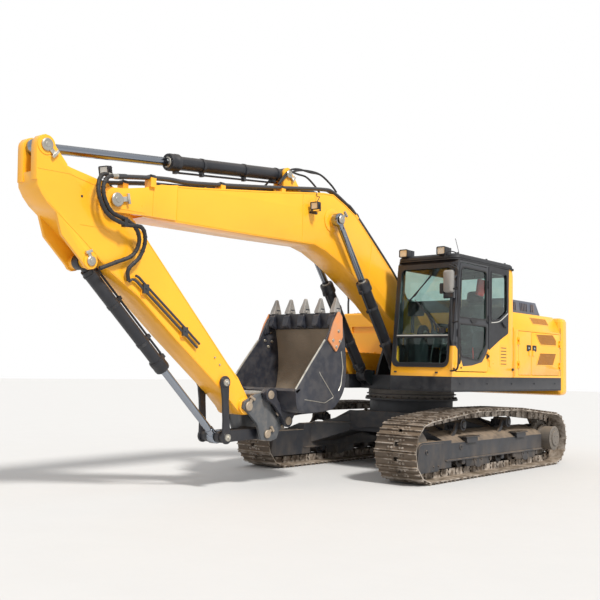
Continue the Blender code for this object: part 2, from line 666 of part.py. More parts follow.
cab_shell()
PANE_DEPTH = 0.012
node("windshield_lower", TINT, slew, [sloped_pane(*LOWER_SCREEN, FRONT_X, PANE_DEPTH, GLASS)])
node("windshield_upper", TINT, slew, [sloped_pane(*UPPER_SCREEN, FRONT_X, PANE_DEPTH, GLASS)])
node("rear_window", TINT, slew,
     [slab("Y", REAR_WINDOW, CAB_REAR_Y - PANE_DEPTH - GLASS, CAB_REAR_Y - PANE_DEPTH)])
node("right_window", TINT, slew,
     [slab("X", RIGHT_WINDOW, CAB_INNER_X + PANE_DEPTH, CAB_INNER_X + PANE_DEPTH + GLASS)])
node("left_rear_window", TINT, slew,
     [slab("X", rounded(QUARTER_WINDOW), LEFT_X - PANE_DEPTH - GLASS, LEFT_X - PANE_DEPTH)])

door = pivot("cab_door_hinge", (*door_axis, DOOR_SILL), slew)
node("cab_door", YELLOW, door, [slab("X", DOOR_OUTLINE, LEFT_X - DOOR_THICK, LEFT_X)],
     [slab("X", grown(rounded(DOOR_WINDOW), FIT), LEFT_X - 0.1, LEFT_X + 0.1)],
     rebuild=[*door_swung, block((LEFT_X - 0.005, LEFT_X + 0.045), (-1.02, -0.99), (1.72, 1.76)),
              block((LEFT_X - 0.005, LEFT_X + 0.045), (-1.02, -0.99), (1.50, 1.54)),
              block((LEFT_X + 0.025, LEFT_X + 0.045), (-1.02, -0.99), (1.50, 1.76))])
node("cab_door_glass", TINT, door,
     [slab("X", rounded(DOOR_WINDOW), LEFT_X - PANE_DEPTH - GLASS, LEFT_X - PANE_DEPTH)])


def operator_seat():
    """Seat on its base, with a console and a lever either side."""
    x, floor = (CAB_INNER_X + LEFT_X) / 2, DECK_TOP + FIT + CAB_WALL + FIT
    base = block((x - 0.20, x + 0.20), (-0.25, 0.22), (floor, floor + 0.30))
    cushion = block((x - 0.25, x + 0.25), (-0.33, 0.20), (floor + 0.28, floor + 0.42))
    back = slab("X", rounded([(0.12, floor + 0.40, 0.03), (0.24, floor + 0.40, 0.03),
                              (0.38, floor + 1.0, 0.04), (0.27, floor + 1.02, 0.04)]), x - 0.23, x + 0.23)
    head = slab("X", rounded([(0.29, floor + 1.0, 0.02), (0.37, floor + 0.98, 0.02),
                              (0.40, floor + 1.2, 0.03), (0.33, floor + 1.22, 0.03)]), x - 0.14, x + 0.14)
    pieces = [base, cushion, back, head]
    for side in (1, -1):
        near, far = x + side * 0.18, x + side * 0.36
        pieces.append(block(sorted((near, far)), (-0.42, 0.18), (floor + 0.16, floor + 0.24)))
        pieces.append(block(sorted((x + side * 0.26, far)), (-0.42, 0.10), (floor + 0.20, floor + 0.50)))
        lever = x + side * 0.31
        pieces.append(stick((lever, -0.34, floor + 0.46), (lever, -0.38, floor + 0.70), 0.016, 12))
    return node("operator_seat", SEAT, slew, pieces)


operator_seat()


# ---------------------------------------------------------------- engine housing
LEFT_DOORS = ((0.77, 1.19), (1.215, 2.22))
DOOR_LOW, DOOR_HIGH = 1.37, 2.02
PUMP_DOOR = (1.37, 2.22)
HOOD_X = (-0.38, 1.17)
HOOD_FRONT_Y = 0.66
HOOD_HINGE = (HOOD_REAR_Y + 0.015, HOUSE_TOP + HINGE_OUT)


def upright(span, low, high, grow=0.0):
    return [(span[0] - grow, low - grow), (span[1] + grow, low - grow),
            (span[1] + grow, high + grow), (span[0] - grow, high + grow)]


def house_section(x_right, inset):
    bottom = DECK_TOP + FIT
    return [(x_right + inset, bottom), (LEFT_X - inset, bottom),
            (LEFT_X - inset, HOUSE_SHOULDER - inset * 0.3),
            (LEFT_X - HOUSE_CHAMFER - inset * 0.6, HOUSE_TOP - inset), (x_right + inset, HOUSE_TOP - inset)]


SIDE_HINGES = (1.52, 1.87)
HINGE_EDGE = DOOR_GAP / 2       # a side door's hinge lies in the middle of its gap
still_left_front, swung_left_front, axis_left_front = side_hinge(
    LEFT_X, LEFT_DOORS[0][0] - HINGE_EDGE, 1, SIDE_HINGES)
still_left_rear, swung_left_rear, axis_left_rear = side_hinge(
    LEFT_X, LEFT_DOORS[1][1] + HINGE_EDGE, -1, SIDE_HINGES)
still_pump, swung_pump, axis_pump = side_hinge(RIGHT_X, PUMP_DOOR[0] - HINGE_EDGE, 1, SIDE_HINGES)
hood_fixed, hood_moving = hinge_spans((0.0, 0.85))
HOOD_Y, HOOD_Z = HOOD_HINGE


def engine_housing():
    """The panelled box round the engine and the pumps, open underneath and at its doors."""
    rear = HOUSE_REAR_Y - FIT
    inner_x = TANK_INNER_X + 0.01
    front_part = slab("Y", house_section(inner_x, 0.0), HOUSE_FRONT_Y, PUMP_FRONT_Y + 0.1)
    rear_part = slab("Y", house_section(RIGHT_X, 0.0), PUMP_FRONT_Y, rear)
    bottom = [(a, b - 0.2 if b < DECK_TOP + 0.01 else b) for a, b in house_section(inner_x, HOUSE_WALL)]
    wide = [(a, b - 0.2 if b < DECK_TOP + 0.01 else b) for a, b in house_section(RIGHT_X, HOUSE_WALL)]
    cuts = [slab("Y", bottom, HOUSE_FRONT_Y + HOUSE_WALL, PUMP_FRONT_Y + HOUSE_WALL + 0.1),
            slab("Y", wide, PUMP_FRONT_Y + HOUSE_WALL, rear - HOUSE_WALL)]
    for span in LEFT_DOORS:
        cuts.append(slab("X", upright(span, DOOR_LOW, DOOR_HIGH, DOOR_GAP), LEFT_X - 0.1, LEFT_X + 0.1))
    cuts.append(slab("X", upright(PUMP_DOOR, DOOR_LOW, DOOR_HIGH, DOOR_GAP), RIGHT_X - 0.1, RIGHT_X + 0.1))
    cuts.append(block((HOOD_X[0] + 0.06, HOOD_X[1] - 0.06), (HOOD_FRONT_Y + 0.05, HOOD_REAR_Y - 0.06),
                      (HOUSE_TOP - 0.1, HOUSE_TOP + 0.1)))
    hinge = knuckles("X", HOOD_HINGE, hood_fixed, (HOOD_Y, HOUSE_TOP - 0.004), (HOOD_Y + 0.035, HOOD_Z))
    return node("engine_housing", YELLOW, slew, [front_part, rear_part], cuts,
                rebuild=[*still_left_front, *still_left_rear, *still_pump, *hinge])


engine_housing()


def side_door(name, hinge_at, span, x_face, swung, latch_y):
    out = 1 if x_face > 0 else -1
    carrier = pivot(f"{name}_hinge", (*hinge_at, DOOR_LOW), slew)
    panel = sorted((x_face, x_face - out * PANEL))
    latch = sorted((x_face - out * 0.005, x_face + out * 0.012))
    return node(name, YELLOW, carrier, [slab("X", upright(span, DOOR_LOW, DOOR_HIGH), *panel)],
                rebuild=[*swung, block(latch, (latch_y - 0.03, latch_y + 0.03), (1.66, 1.74))])


side_door("left_front_side_door", axis_left_front, LEFT_DOORS[0], LEFT_X, swung_left_front, 1.14)
side_door("left_rear_side_door", axis_left_rear, LEFT_DOORS[1], LEFT_X, swung_left_rear, 1.27)
side_door("right_side_door", axis_pump, PUMP_DOOR, RIGHT_X, swung_pump, 2.16)


def engine_hood():
    """The louvred lid over the engine, hinged along its rear edge."""
    carrier = pivot("engine_hood_hinge", (0, HOOD_Y, HOOD_Z), slew)
    base = HOUSE_TOP + SIDE_PLAY
    shell = [(HOOD_FRONT_Y, base), (HOOD_REAR_Y, base), (HOOD_REAR_Y - 0.17, HOOD_TOP),
             (HOOD_FRONT_Y + 0.02, HOOD_TOP)]
    hollow = [(HOOD_FRONT_Y + 0.03, base - 0.1), (HOOD_REAR_Y - 0.03, base - 0.1),
              (HOOD_REAR_Y - 0.05, base), (HOOD_REAR_Y - 0.20, HOOD_TOP - 0.03),
              (HOOD_FRONT_Y + 0.045, HOOD_TOP - 0.03)]
    swung = []
    for low, high in hood_moving:
        swung.append(disc("X", HOOD_HINGE, 0.014, low, high, 10))
        swung.append(slab("X", [(HOOD_REAR_Y - 0.03, HOUSE_TOP + 0.010), (HOOD_Y, HOUSE_TOP + 0.010),
                                (HOOD_Y, HOOD_Z + 0.006), (HOOD_REAR_Y - 0.03, HOOD_Z + 0.006)], low, high))
    return node("engine_hood", SLATE, carrier, [slab("X", shell, *HOOD_X)],
                [slab("X", hollow, HOOD_X[0] + 0.03, HOOD_X[1] - 0.03)], rebuild=swung)


engine_hood()
node("engine_block", IRON, slew, [block((-0.25, 0.95), (0.75, 1.75), (DECK_TOP + FIT, 2.15))], bevel=0.04)


# ---------------------------------------------------------------- tanks, tool box, counterweight
def fuel_tank():
    shape = block((RIGHT_X, TANK_INNER_X), (TANK_FRONT_Y, TANK_SPLIT_Y - FIT), (DECK_TOP + FIT, TANK_TOP))
    middle = ((RIGHT_X + TANK_INNER_X) / 2, (TANK_FRONT_Y + TANK_SPLIT_Y) / 2)
    slot = block((RIGHT_X + 0.18, TANK_INNER_X - 0.14), (TANK_FRONT_Y - 0.1, TANK_FRONT_Y + 0.03),
                 (TANK_TOP - 0.32, TANK_TOP - 0.22))
    cap = [disc("Z", middle, 0.04, TANK_TOP - 0.02, TANK_TOP + 0.05, 16),
           disc("Z", middle, 0.07, TANK_TOP + 0.045, TANK_TOP + 0.075, 16)]
    return node("fuel_tank", YELLOW, slew, [shape], [slot], bevel=0.03, rebuild=cap)


fuel_tank()
node("hydraulic_tank", YELLOW, slew,
     [block((RIGHT_X, TANK_INNER_X), (TANK_SPLIT_Y, PUMP_FRONT_Y - FIT), (DECK_TOP + FIT, TANK_TOP)),
      disc("Z", (-0.9, 1.0), 0.09, TANK_TOP - 0.02, TANK_TOP + 0.02, 24)], bevel=0.03)

LID_HINGE = (0.03, BOX_TOP + HINGE_OUT)
lid_fixed, lid_moving = hinge_spans((-1.15, -0.76))


def tool_box():
    """The open box on the front right corner of the deck."""
    rim = BOX_TOP - 0.04 - SIDE_PLAY
    rear = 0.05
    outer = block((RIGHT_X, BOX_INNER_X), (BOX_FRONT_Y, rear), (DECK_TOP + FIT, rim))
    hollow = block((RIGHT_X + PANEL, BOX_INNER_X - PANEL), (BOX_FRONT_Y + PANEL, rear - 0.05),
                   (DECK_TOP + PANEL, rim + 0.1))
    strip = block((RIGHT_X, BOX_INNER_X), (LID_HINGE[0] + 0.003, rear), (rim - 0.02, BOX_TOP))
    hinge = knuckles("X", LID_HINGE, lid_fixed, (LID_HINGE[0] + 0.004, BOX_TOP - 0.004),
                     (LID_HINGE[0] + 0.018, LID_HINGE[1]))
    return node("tool_box", YELLOW, slew, [outer], [hollow], rebuild=[strip, *hinge])


def tool_box_lid():
    carrier = pivot("tool_box_lid_hinge", (0, *LID_HINGE), slew)
    y, z = LID_HINGE
    swung = []
    for low, high in lid_moving:
        swung.append(disc("X", LID_HINGE, 0.014, low, high, 10))
        swung.append(slab("X", [(y - 0.04, BOX_TOP - 0.004), (y - 0.008, BOX_TOP - 0.004), (y, z - 0.006),
                                (y, z + 0.004), (y - 0.04, z + 0.004)], low, high))
    latch = block((-1.0, -0.92), (BOX_FRONT_Y - 0.012, BOX_FRONT_Y + 0.01),
                  (BOX_TOP - 0.035, BOX_TOP - 0.005))
    return node("tool_box_lid", YELLOW, carrier,
                [block((RIGHT_X, BOX_INNER_X), (BOX_FRONT_Y, y - DOOR_GAP), (BOX_TOP - 0.04, BOX_TOP))],
                rebuild=[*swung, latch])


tool_box()
tool_box_lid()

WEIGHT_CORNER = 0.42
CORNER_Y = WEIGHT_REAR_Y - WEIGHT_CORNER - 0.10
COUNTERWEIGHT_PLAN = [(RIGHT_X, HOUSE_REAR_Y),
                      *arc((RIGHT_X + WEIGHT_CORNER, CORNER_Y), WEIGHT_CORNER, 0.5, 0.27, 6),
                      *arc((LEFT_X - WEIGHT_CORNER, CORNER_Y), WEIGHT_CORNER, 0.23, 0.0, 6),
                      (LEFT_X, HOUSE_REAR_Y)]


def counterweight():
    """The cast block behind the engine, with a bowed rear face."""
    bow = [(x, y + 0.10 * (1 - (x / LEFT_X) ** 2)) if y > HOUSE_REAR_Y + 0.02 else (x, y)
           for x, y in COUNTERWEIGHT_PLAN]
    middle = [(x, WEIGHT_REAR_Y) for x in (-0.4, 0.0, 0.4)]
    outline = bow[:8] + middle + bow[8:]
    return node("counterweight", YELLOW, slew, [slab("Z", outline, WEIGHT_BOTTOM, WEIGHT_TOP)], bevel=0.06)


counterweight()


# ---------------------------------------------------------------- cylinders
def cylinder(name, carrier, base, eye, middle_x, sizes, barrel_end, rod_length, eye_half):
    """A barrel on its base pivot and a rod in it, whose eye stops short of its pin's lugs."""
    barrel_r, collar_r, rod_r, base_eye, rod_eye, pin = sizes
    reach = distance(base, eye)

    def at(along):
        y, z = between(base, eye, along / reach)
        return (middle_x, y, z)

    barrel_pivot = pivot(f"{name}_base", at(0), carrier)
    barrel = [stick(at(base_eye + 0.02), at(barrel_end), barrel_r),
              stick(at(base_eye * 0.6), at(base_eye + 0.04), eye_half * 0.98),
              disc("X", base, base_eye, middle_x - eye_half, middle_x + eye_half),
              stick(at(barrel_end - 0.14), at(barrel_end), collar_r)]
    cuts = [disc("X", base, pin + PIN_PLAY, middle_x - 0.2, middle_x + 0.2, BORE_SIDES),
            stick(at(base_eye + 0.06), at(barrel_end + 0.1), rod_r + SIDE_PLAY)]
    node(f"{name}_barrel", BLACK, barrel_pivot, barrel, cuts)
    rod_pivot = pivot(f"{name}_rod_end", at(reach), barrel_pivot)
    node(f"{name}_rod", CHROME, rod_pivot,
         [stick(at(reach - rod_length), at(reach), rod_r),
          disc("X", eye, rod_eye, middle_x - eye_half, middle_x + eye_half),
          stick(at(reach - rod_eye - 0.05), at(reach - rod_eye * 0.6), eye_half * 0.98)])


boom = pivot("boom_foot", (0, *BOOM_FOOT), slew)
LIFT_SIZES = (0.075, 0.091, 0.045, 0.085, 0.085, SMALL_PIN)
for side_name, side in (("left", 1), ("right", -1)):
    cylinder(f"{side_name}_boom_cylinder", slew, BOOM_LIFT_BASE, BOOM_LIFT_EYE, side * LIFT_X, LIFT_SIZES,
             1.55, 1.56, LIFT_EYE_HALF)
PUSH_SIZES = (0.078, 0.095, 0.05, 0.085, 0.085, SMALL_PIN)
cylinder("arm_cylinder", boom, ARM_PUSH_BASE, ARM_PUSH_EYE, 0.0, PUSH_SIZES,
         1.92, 1.80, PUSH_EYE_HALF)
arm = pivot("arm_pivot", (0, *BOOM_HEAD), boom)
CURL_SIZES = (0.068, 0.082, 0.042, 0.078, 0.078, SMALL_PIN)
cylinder("bucket_cylinder", arm, BUCKET_PUSH_BASE, ROCKER_TIP, 0.0, CURL_SIZES,
         1.515, 1.25, PUSH_EYE_HALF)


# ---------------------------------------------------------------- boom
def boom_body():
    """The bent box of the boom, with its pivots."""
    top = [(-5.44, 3.22), (-5.19, 3.30), (-4.66, 3.36), (-3.51, 3.52), (-2.45, 3.68), (-2.25, 3.69),
           (-1.97, 3.585), (-1.74, 3.48), (-0.88, 2.82)]
    bottom = [(-0.97, 2.17), (-1.18, 2.32), (-1.91, 2.72), (-2.10, 2.81), (-2.40, 2.93), (-2.63, 2.98),
              (-2.97, 2.97), (-3.74, 2.95), (-4.64, 2.937), (-5.43, 2.92)]
    foot = arc(BOOM_FOOT, 0.15, 0.12, -0.36, 7)
    main = slab("X", top + foot + bottom, -BOOM_HALF, BOOM_HALF)
    head = [(-5.0, 2.94), (-5.0, 3.32), (-5.30, 3.27), (-5.44, 3.22), (-5.70, 3.165),
            *arc(BOOM_HEAD, 0.125, 0.25, 0.72, 7), (-5.43, 2.93)]
    pieces = [main, disc("X", BOOM_FOOT, 0.15, -BOOM_FOOT_HALF, BOOM_FOOT_HALF, 24)]
    late = twins("X", head, *BOOM_EAR)
    late.append(disc("X", BOOM_HEAD, HEAD_PIN, -BOOM_EAR[1] - 0.02, BOOM_EAR[1] + 0.02))
    push_y = ARM_PUSH_BASE[0]
    lug = [(push_y - 0.084, 3.54), (push_y + 0.30, 3.60), *arc(ARM_PUSH_BASE, 0.085, 0.05, 0.50, 6)]
    late += twins("X", lug, PUSH_EYE_HALF + SIDE_PLAY, PUSH_EYE_HALF + LUG_PLATE)
    late.append(disc("X", ARM_PUSH_BASE, SMALL_PIN, -PUSH_EYE_HALF - 0.05, PUSH_EYE_HALF + 0.05))
    eye_inner = LIFT_X - LIFT_EYE_HALF - SIDE_PLAY
    late += [disc("X", BOOM_LIFT_EYE, 0.10, -BOOM_HALF - 0.01, BOOM_HALF + 0.01, 20),
             disc("X", BOOM_LIFT_EYE, 0.07, -eye_inner, eye_inner)]
    cuts = [disc("X", BOOM_FOOT, FOOT_PIN + PIN_PLAY, -0.4, 0.4, BORE_SIDES),
            block((-BOOM_EAR[0], BOOM_EAR[0]), (-6.2, -5.42), (2.6, 3.6))]
    return node("boom", YELLOW, boom, pieces, cuts, rebuild=late)


boom_body()


# ---------------------------------------------------------------- arm
def arm_body():
    """The tapering box of the arm, with lugs for its own cylinder and the bucket's."""
    back = [(-6.50, 3.33), (-6.281, 3.275), (-5.998, 3.226), (-5.843, 3.198), (-5.307, 2.687),
            (-4.748, 2.114), (-4.094, 1.441), (-3.913, 1.274)]
    tip = arc(BUCKET_PIVOT, 0.105, 0.14, -0.36, 7)
    front = [(-4.123, 1.092), (-4.913, 1.696), (-5.408, 2.096), (-5.762, 2.309), (-6.156, 2.61),
             (-6.344, 2.755), (-6.527, 2.894), (-6.598, 2.973), (-6.645, 3.054), (-6.662, 3.22)]
    main = slab("X", back + tip + front, -ARM_HALF, ARM_HALF)
    pieces = [main, disc("X", BOOM_HEAD, 0.14, -ARM_BOSS_HALF, ARM_BOSS_HALF, 20),
              disc("X", BUCKET_PIVOT, 0.10, -COUPLER_PLATE[0] + SIDE_PLAY,
                   COUPLER_PLATE[0] - SIDE_PLAY, 20),
              disc("X", ROCKER_PIVOT, 0.07, -ROCKER_PLATE[0] + SIDE_PLAY, ROCKER_PLATE[0] - SIDE_PLAY)]
    rod_lug = [(-6.66, 3.10), (-6.30, 3.10), (-6.33, 3.30), *arc(ARM_PUSH_EYE, 0.10, 0.02, 0.52, 6)]
    rod_slot = block((-ROD_SLOT_HALF, ROD_SLOT_HALF), (-6.9, -6.255), (3.185, 3.8))
    late = twins("X", rod_lug, ROD_SLOT_HALF, ARM_HALF)
    late += twins("X", arc(ARM_PUSH_EYE, 0.05, 0, 15 / 16, 15), PUSH_EYE_HALF + SIDE_PLAY, ARM_HALF + 0.01)
    base_lug = [(-6.44, 2.86), (-6.36, 2.62), *arc(BUCKET_PUSH_BASE, 0.085, 0.56, 1.10, 6), (-5.98, 2.56)]
    late += twins("X", base_lug, ARM_HALF - LUG_PLATE, ARM_HALF)
    late += twins("X", arc(BUCKET_PUSH_BASE, 0.065, 0, 15 / 16, 15), PUSH_EYE_HALF + SIDE_PLAY,
                  ARM_HALF - LUG_PLATE + 0.005)
    late.append(disc("X", BUCKET_PUSH_BASE, SMALL_PIN, -ARM_HALF - 0.01, ARM_HALF + 0.01))
    cuts = [disc("X", BOOM_HEAD, HEAD_PIN + PIN_PLAY, -0.4, 0.4, BORE_SIDES),
            disc("X", BUCKET_PIVOT, SMALL_PIN + PIN_PLAY, -0.4, 0.4, BORE_SIDES),
            disc("X", ROCKER_PIVOT, SMALL_PIN + PIN_PLAY, -0.4, 0.4, BORE_SIDES), rod_slot]
    return node("arm", YELLOW, arm, pieces, cuts, rebuild=late)


arm_body()

rocker = pivot("rocker_pivot", (0, *ROCKER_PIVOT), arm)
node("rocker_links", BLACK, rocker,
     [*twins("X", capsule(ROCKER_PIVOT, ROCKER_TIP, 0.075, 0.07), *ROCKER_PLATE),
      disc("X", ROCKER_PIVOT, SMALL_PIN, -ROCKER_PLATE[1] - 0.01, ROCKER_PLATE[1] + 0.01),
      *twins("X", arc(ROCKER_TIP, SMALL_PIN, 0, 15 / 16, 15), LINK_FORK[1] + SIDE_PLAY,
             ROCKER_PLATE[1] + 0.01)])

bucket = pivot("bucket_pivot", (0, *BUCKET_PIVOT), arm)
link = pivot("bucket_link_pivot", (0, *LINK_FOOT), bucket)


def bucket_link():
    """The fork between the rockers' tips and the coupler."""
    neck = between(LINK_FOOT, ROCKER_TIP, 0.5)
    return node("bucket_link", BLACK, link,
                [disc("X", LINK_FOOT, 0.07, -COUPLER_PLATE[0] + SIDE_PLAY, COUPLER_PLATE[0] - SIDE_PLAY),
                 slab("X", capsule(LINK_FOOT, neck, 0.06, 0.06), -LINK_FORK[1], LINK_FORK[1]),
                 *twins("X", capsule(LINK_FOOT, ROCKER_TIP, 0.06, 0.065), *LINK_FORK)],
                [disc("X", LINK_FOOT, SMALL_PIN + PIN_PLAY, -0.4, 0.4, BORE_SIDES)])


bucket_link()


# ---------------------------------------------------------------- quick coupler and bucket
def quick_coupler():
    """Two plates with a web, which grip the bucket's two pins."""
    plate = [(-3.773, 1.046), (-3.673, 1.085), (-3.585, 1.10), (-3.508, 1.145), (-3.44, 1.06),
             (-3.404, 0.876), (-3.311, 0.80), (-3.18, 0.84), (-3.12, 0.78), (-3.15, 0.70),
             (-3.252, 0.658), (-3.30, 0.56), (-3.40, 0.53), (-3.568, 0.555), (-3.643, 0.743), (-3.783, 0.862), (-3.886, 0.933), (-3.87, 1.0)]
    pieces = twins("X", plate, *COUPLER_PLATE)
    web = [(-3.47, 0.92), (-3.43, 0.99), (-3.24, 0.80), (-3.28, 0.73)]
    pieces.append(slab("X", web, -COUPLER_PLATE[0] - 0.01, COUPLER_PLATE[0] + 0.01))
    for place in (BUCKET_PIVOT, LINK_FOOT):
        pieces.append(disc("X", place, SMALL_PIN, -COUPLER_PLATE[1] - 0.004, COUPLER_PLATE[1] + 0.004))
    cuts = [disc("X", place, SMALL_PIN + FIT * 2, -0.4, 0.4) for place in (HITCH_FRONT, HITCH_REAR)]
    return node("quick_coupler", GREY, bucket, pieces, cuts)


quick_coupler()


def bucket_body():
    """The bucket: a curved wrapper between two cheeks, with its ears, lip, teeth and side cutters."""
    cheek = [(-2.63, 2.05), (-2.50, 2.045), (-2.44, 1.82), (-2.39, 1.435), (-2.42, 1.166), (-2.53, 1.0),
             (-2.67, 0.905), (-2.95, 0.875), (-3.295, 0.895), (-3.37, 1.134), (-3.10, 1.44), (-2.81, 1.75),
             (-2.67, 1.99)]
    hollow = [(-2.60, 2.20), (-2.535, 2.045), (-2.47, 1.82), (-2.42, 1.435), (-2.45, 1.18), (-2.55, 1.025),
              (-2.68, 0.935), (-2.95, 0.905), (-3.272, 0.925), (-3.345, 1.15), (-3.45, 1.30), (-3.10, 1.8),
              (-2.9, 2.2)]
    inside = BUCKET_HALF - BUCKET_WALL
    ear = [(-3.60, 1.10), (-3.54, 1.15), (-3.42, 1.16), (-3.33, 1.13), (-3.15, 0.89), (-2.98, 0.885),
           (-3.10, 0.74), (-3.17, 0.70), (-3.24, 0.73), (-3.27, 0.82), (-3.44, 1.01), (-3.55, 1.02)]
    late = twins("X", ear, *HITCH_EAR)
    for place in (HITCH_FRONT, HITCH_REAR):
        late.append(disc("X", place, SMALL_PIN, -HITCH_EAR[1] - 0.01, HITCH_EAR[1] + 0.01))
    cutter = [(-2.56, 2.12), (-2.50, 2.045), (-2.49, 1.80), (-2.62, 1.60), (-2.76, 1.76), (-2.66, 2.0)]
    late += twins("X", cutter, BUCKET_HALF - 0.005, BUCKET_HALF + 0.02)
    tooth = [(-2.66, 1.98), (-2.62, 1.92), (-2.50, 1.92), (-2.485, 2.06), (-2.515, 2.29),
             (-2.545, 2.29), (-2.64, 2.08)]
    teeth = [slab("X", tooth, x - 0.045, x + 0.045) for x in (-0.50, -0.25, 0.0, 0.25, 0.50)]
    return node("bucket", DARK, bucket, [slab("X", cheek, -BUCKET_HALF, BUCKET_HALF)],
                [slab("X", hollow, -inside, inside)], rebuild=late + teeth)


bucket_body()


# ---------------------------------------------------------------- origin under the middle
def middle_of_outline():
    """The middle of the whole machine's box in X and Y."""
    graph = bpy.context.evaluated_depsgraph_get()
    bpy.context.view_layer.update()
    places = []
    for item in bpy.context.scene.objects:
        if item.type != "MESH" or item.hide_render:
            continue
        shown = item.evaluated_get(graph)
        places += [shown.matrix_world @ Vector(corner) for corner in shown.bound_box]
    return [(min(p[i] for p in places) + max(p[i] for p in places)) / 2 for i in (0, 1)]


across, along = middle_of_outline()
machine.location = (-across, -along, 0)
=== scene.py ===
"""The looks of the crawler excavator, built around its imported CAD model.

Shapes are drawn in the machine's own frame, in metres: the slew axis is X = 0, Y = 0, the machine
faces -Y, its cab side is +X and the ground is Z = 0. AXIS carries them into the row frame.
"""

import json
from math import acos, atan2, cos, pi, radians, sin

import bmesh
import bpy
from mathutils import Matrix, Vector, noise


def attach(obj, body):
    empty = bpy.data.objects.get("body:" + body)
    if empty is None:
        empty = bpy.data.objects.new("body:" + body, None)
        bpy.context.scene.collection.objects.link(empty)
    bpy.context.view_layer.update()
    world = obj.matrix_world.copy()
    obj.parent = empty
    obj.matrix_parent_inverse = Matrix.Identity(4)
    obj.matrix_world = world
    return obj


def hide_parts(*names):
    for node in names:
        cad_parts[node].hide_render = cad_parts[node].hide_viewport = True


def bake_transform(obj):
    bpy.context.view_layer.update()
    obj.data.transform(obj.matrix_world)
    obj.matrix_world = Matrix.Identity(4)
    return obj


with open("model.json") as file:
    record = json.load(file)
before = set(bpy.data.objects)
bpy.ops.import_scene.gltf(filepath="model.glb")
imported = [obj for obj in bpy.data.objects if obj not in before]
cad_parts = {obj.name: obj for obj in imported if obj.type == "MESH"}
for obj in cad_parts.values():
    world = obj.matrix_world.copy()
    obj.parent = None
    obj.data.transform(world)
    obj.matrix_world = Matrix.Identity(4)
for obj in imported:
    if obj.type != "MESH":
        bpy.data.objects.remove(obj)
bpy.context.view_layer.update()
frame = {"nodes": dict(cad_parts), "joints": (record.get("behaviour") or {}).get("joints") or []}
JOINTS = {joint["name"]: joint for joint in frame["joints"]}
AXIS = Vector((*JOINTS["swing"]["pos_m"][:2], 0))


def pin(joint):
    """(Y, Z) of a hinge in the machine's own frame."""
    return JOINTS[joint]["pos_m"][1] - AXIS.y, JOINTS[joint]["pos_m"][2]


# ---------------------------------------------------------------- materials
class Graph:
    """A material's node tree, with short calls to build it."""

    def __init__(self, name):
        self.material = bpy.data.materials.new(name)
        self.material.use_nodes = True
        self.nodes = self.material.node_tree.nodes
        self.links = self.material.node_tree.links
        self.shader = self.nodes["Principled BSDF"]
        self.output = self.nodes["Material Output"]
        self.place = self.add("ShaderNodeTexCoord").outputs["Object"]

    def add(self, kind, **settings):
        made = self.nodes.new(kind)
        for key, value in settings.items():
            setattr(made, key, value)
        return made

    def feed(self, socket, value):
        if isinstance(value, bpy.types.NodeSocket):
            self.links.new(value, socket)
        else:
            socket.default_value = value

    def noise(self, scale, detail=4.0, stretch=None):
        made = self.add("ShaderNodeTexNoise")
        place = self.place
        if stretch:
            mapping = self.add("ShaderNodeMapping")
            mapping.inputs["Scale"].default_value = stretch
            self.links.new(place, mapping.inputs["Vector"])
            place = mapping.outputs[0]
        self.links.new(place, made.inputs["Vector"])
        made.inputs["Scale"].default_value = scale
        made.inputs["Detail"].default_value = detail
        made.inputs["Roughness"].default_value = 0.55
        return made.outputs["Fac"]

    def span(self, value, low, high, to_low=0.0, to_high=1.0):
        """value mapped from low..high to to_low..to_high, and held there."""
        made = self.add("ShaderNodeMapRange")
        for socket, number in zip(made.inputs, (value, low, high, to_low, to_high)):
            self.feed(socket, number)
        return made.outputs[0]

    def math(self, operation, a, b=0.0, c=0.0):
        made = self.add("ShaderNodeMath", operation=operation)
        for socket, number in zip(made.inputs, (a, b, c)):
            self.feed(socket, number)
        return made.outputs[0]

    def blend(self, share, a, b):
        made = self.add("ShaderNodeMix", data_type="RGBA")
        self.feed(made.inputs["Factor"], share)
        for socket, colour in ((made.inputs[6], a), (made.inputs[7], b)):
            self.feed(socket, (*colour, 1) if isinstance(colour, tuple) else colour)
        return made.outputs[2]

    def axis(self, letter):
        made = self.add("ShaderNodeSeparateXYZ")
        self.links.new(self.place, made.inputs[0])
        return made.outputs[letter]

    def upward(self):
        """1 on faces that look up, 0 on upright ones, -1 on undersides."""
        normal = self.add("ShaderNodeNewGeometry").outputs["Normal"]
        made = self.add("ShaderNodeSeparateXYZ")
        self.links.new(normal, made.inputs[0])
        return made.outputs["Z"]

    def edges(self):
        """Near 1 along outer edges, 0 on flat faces."""
        return self.span(self.add("ShaderNodeNewGeometry").outputs["Pointiness"], 0.52, 0.62)


DUST = (0.36, 0.27, 0.185)


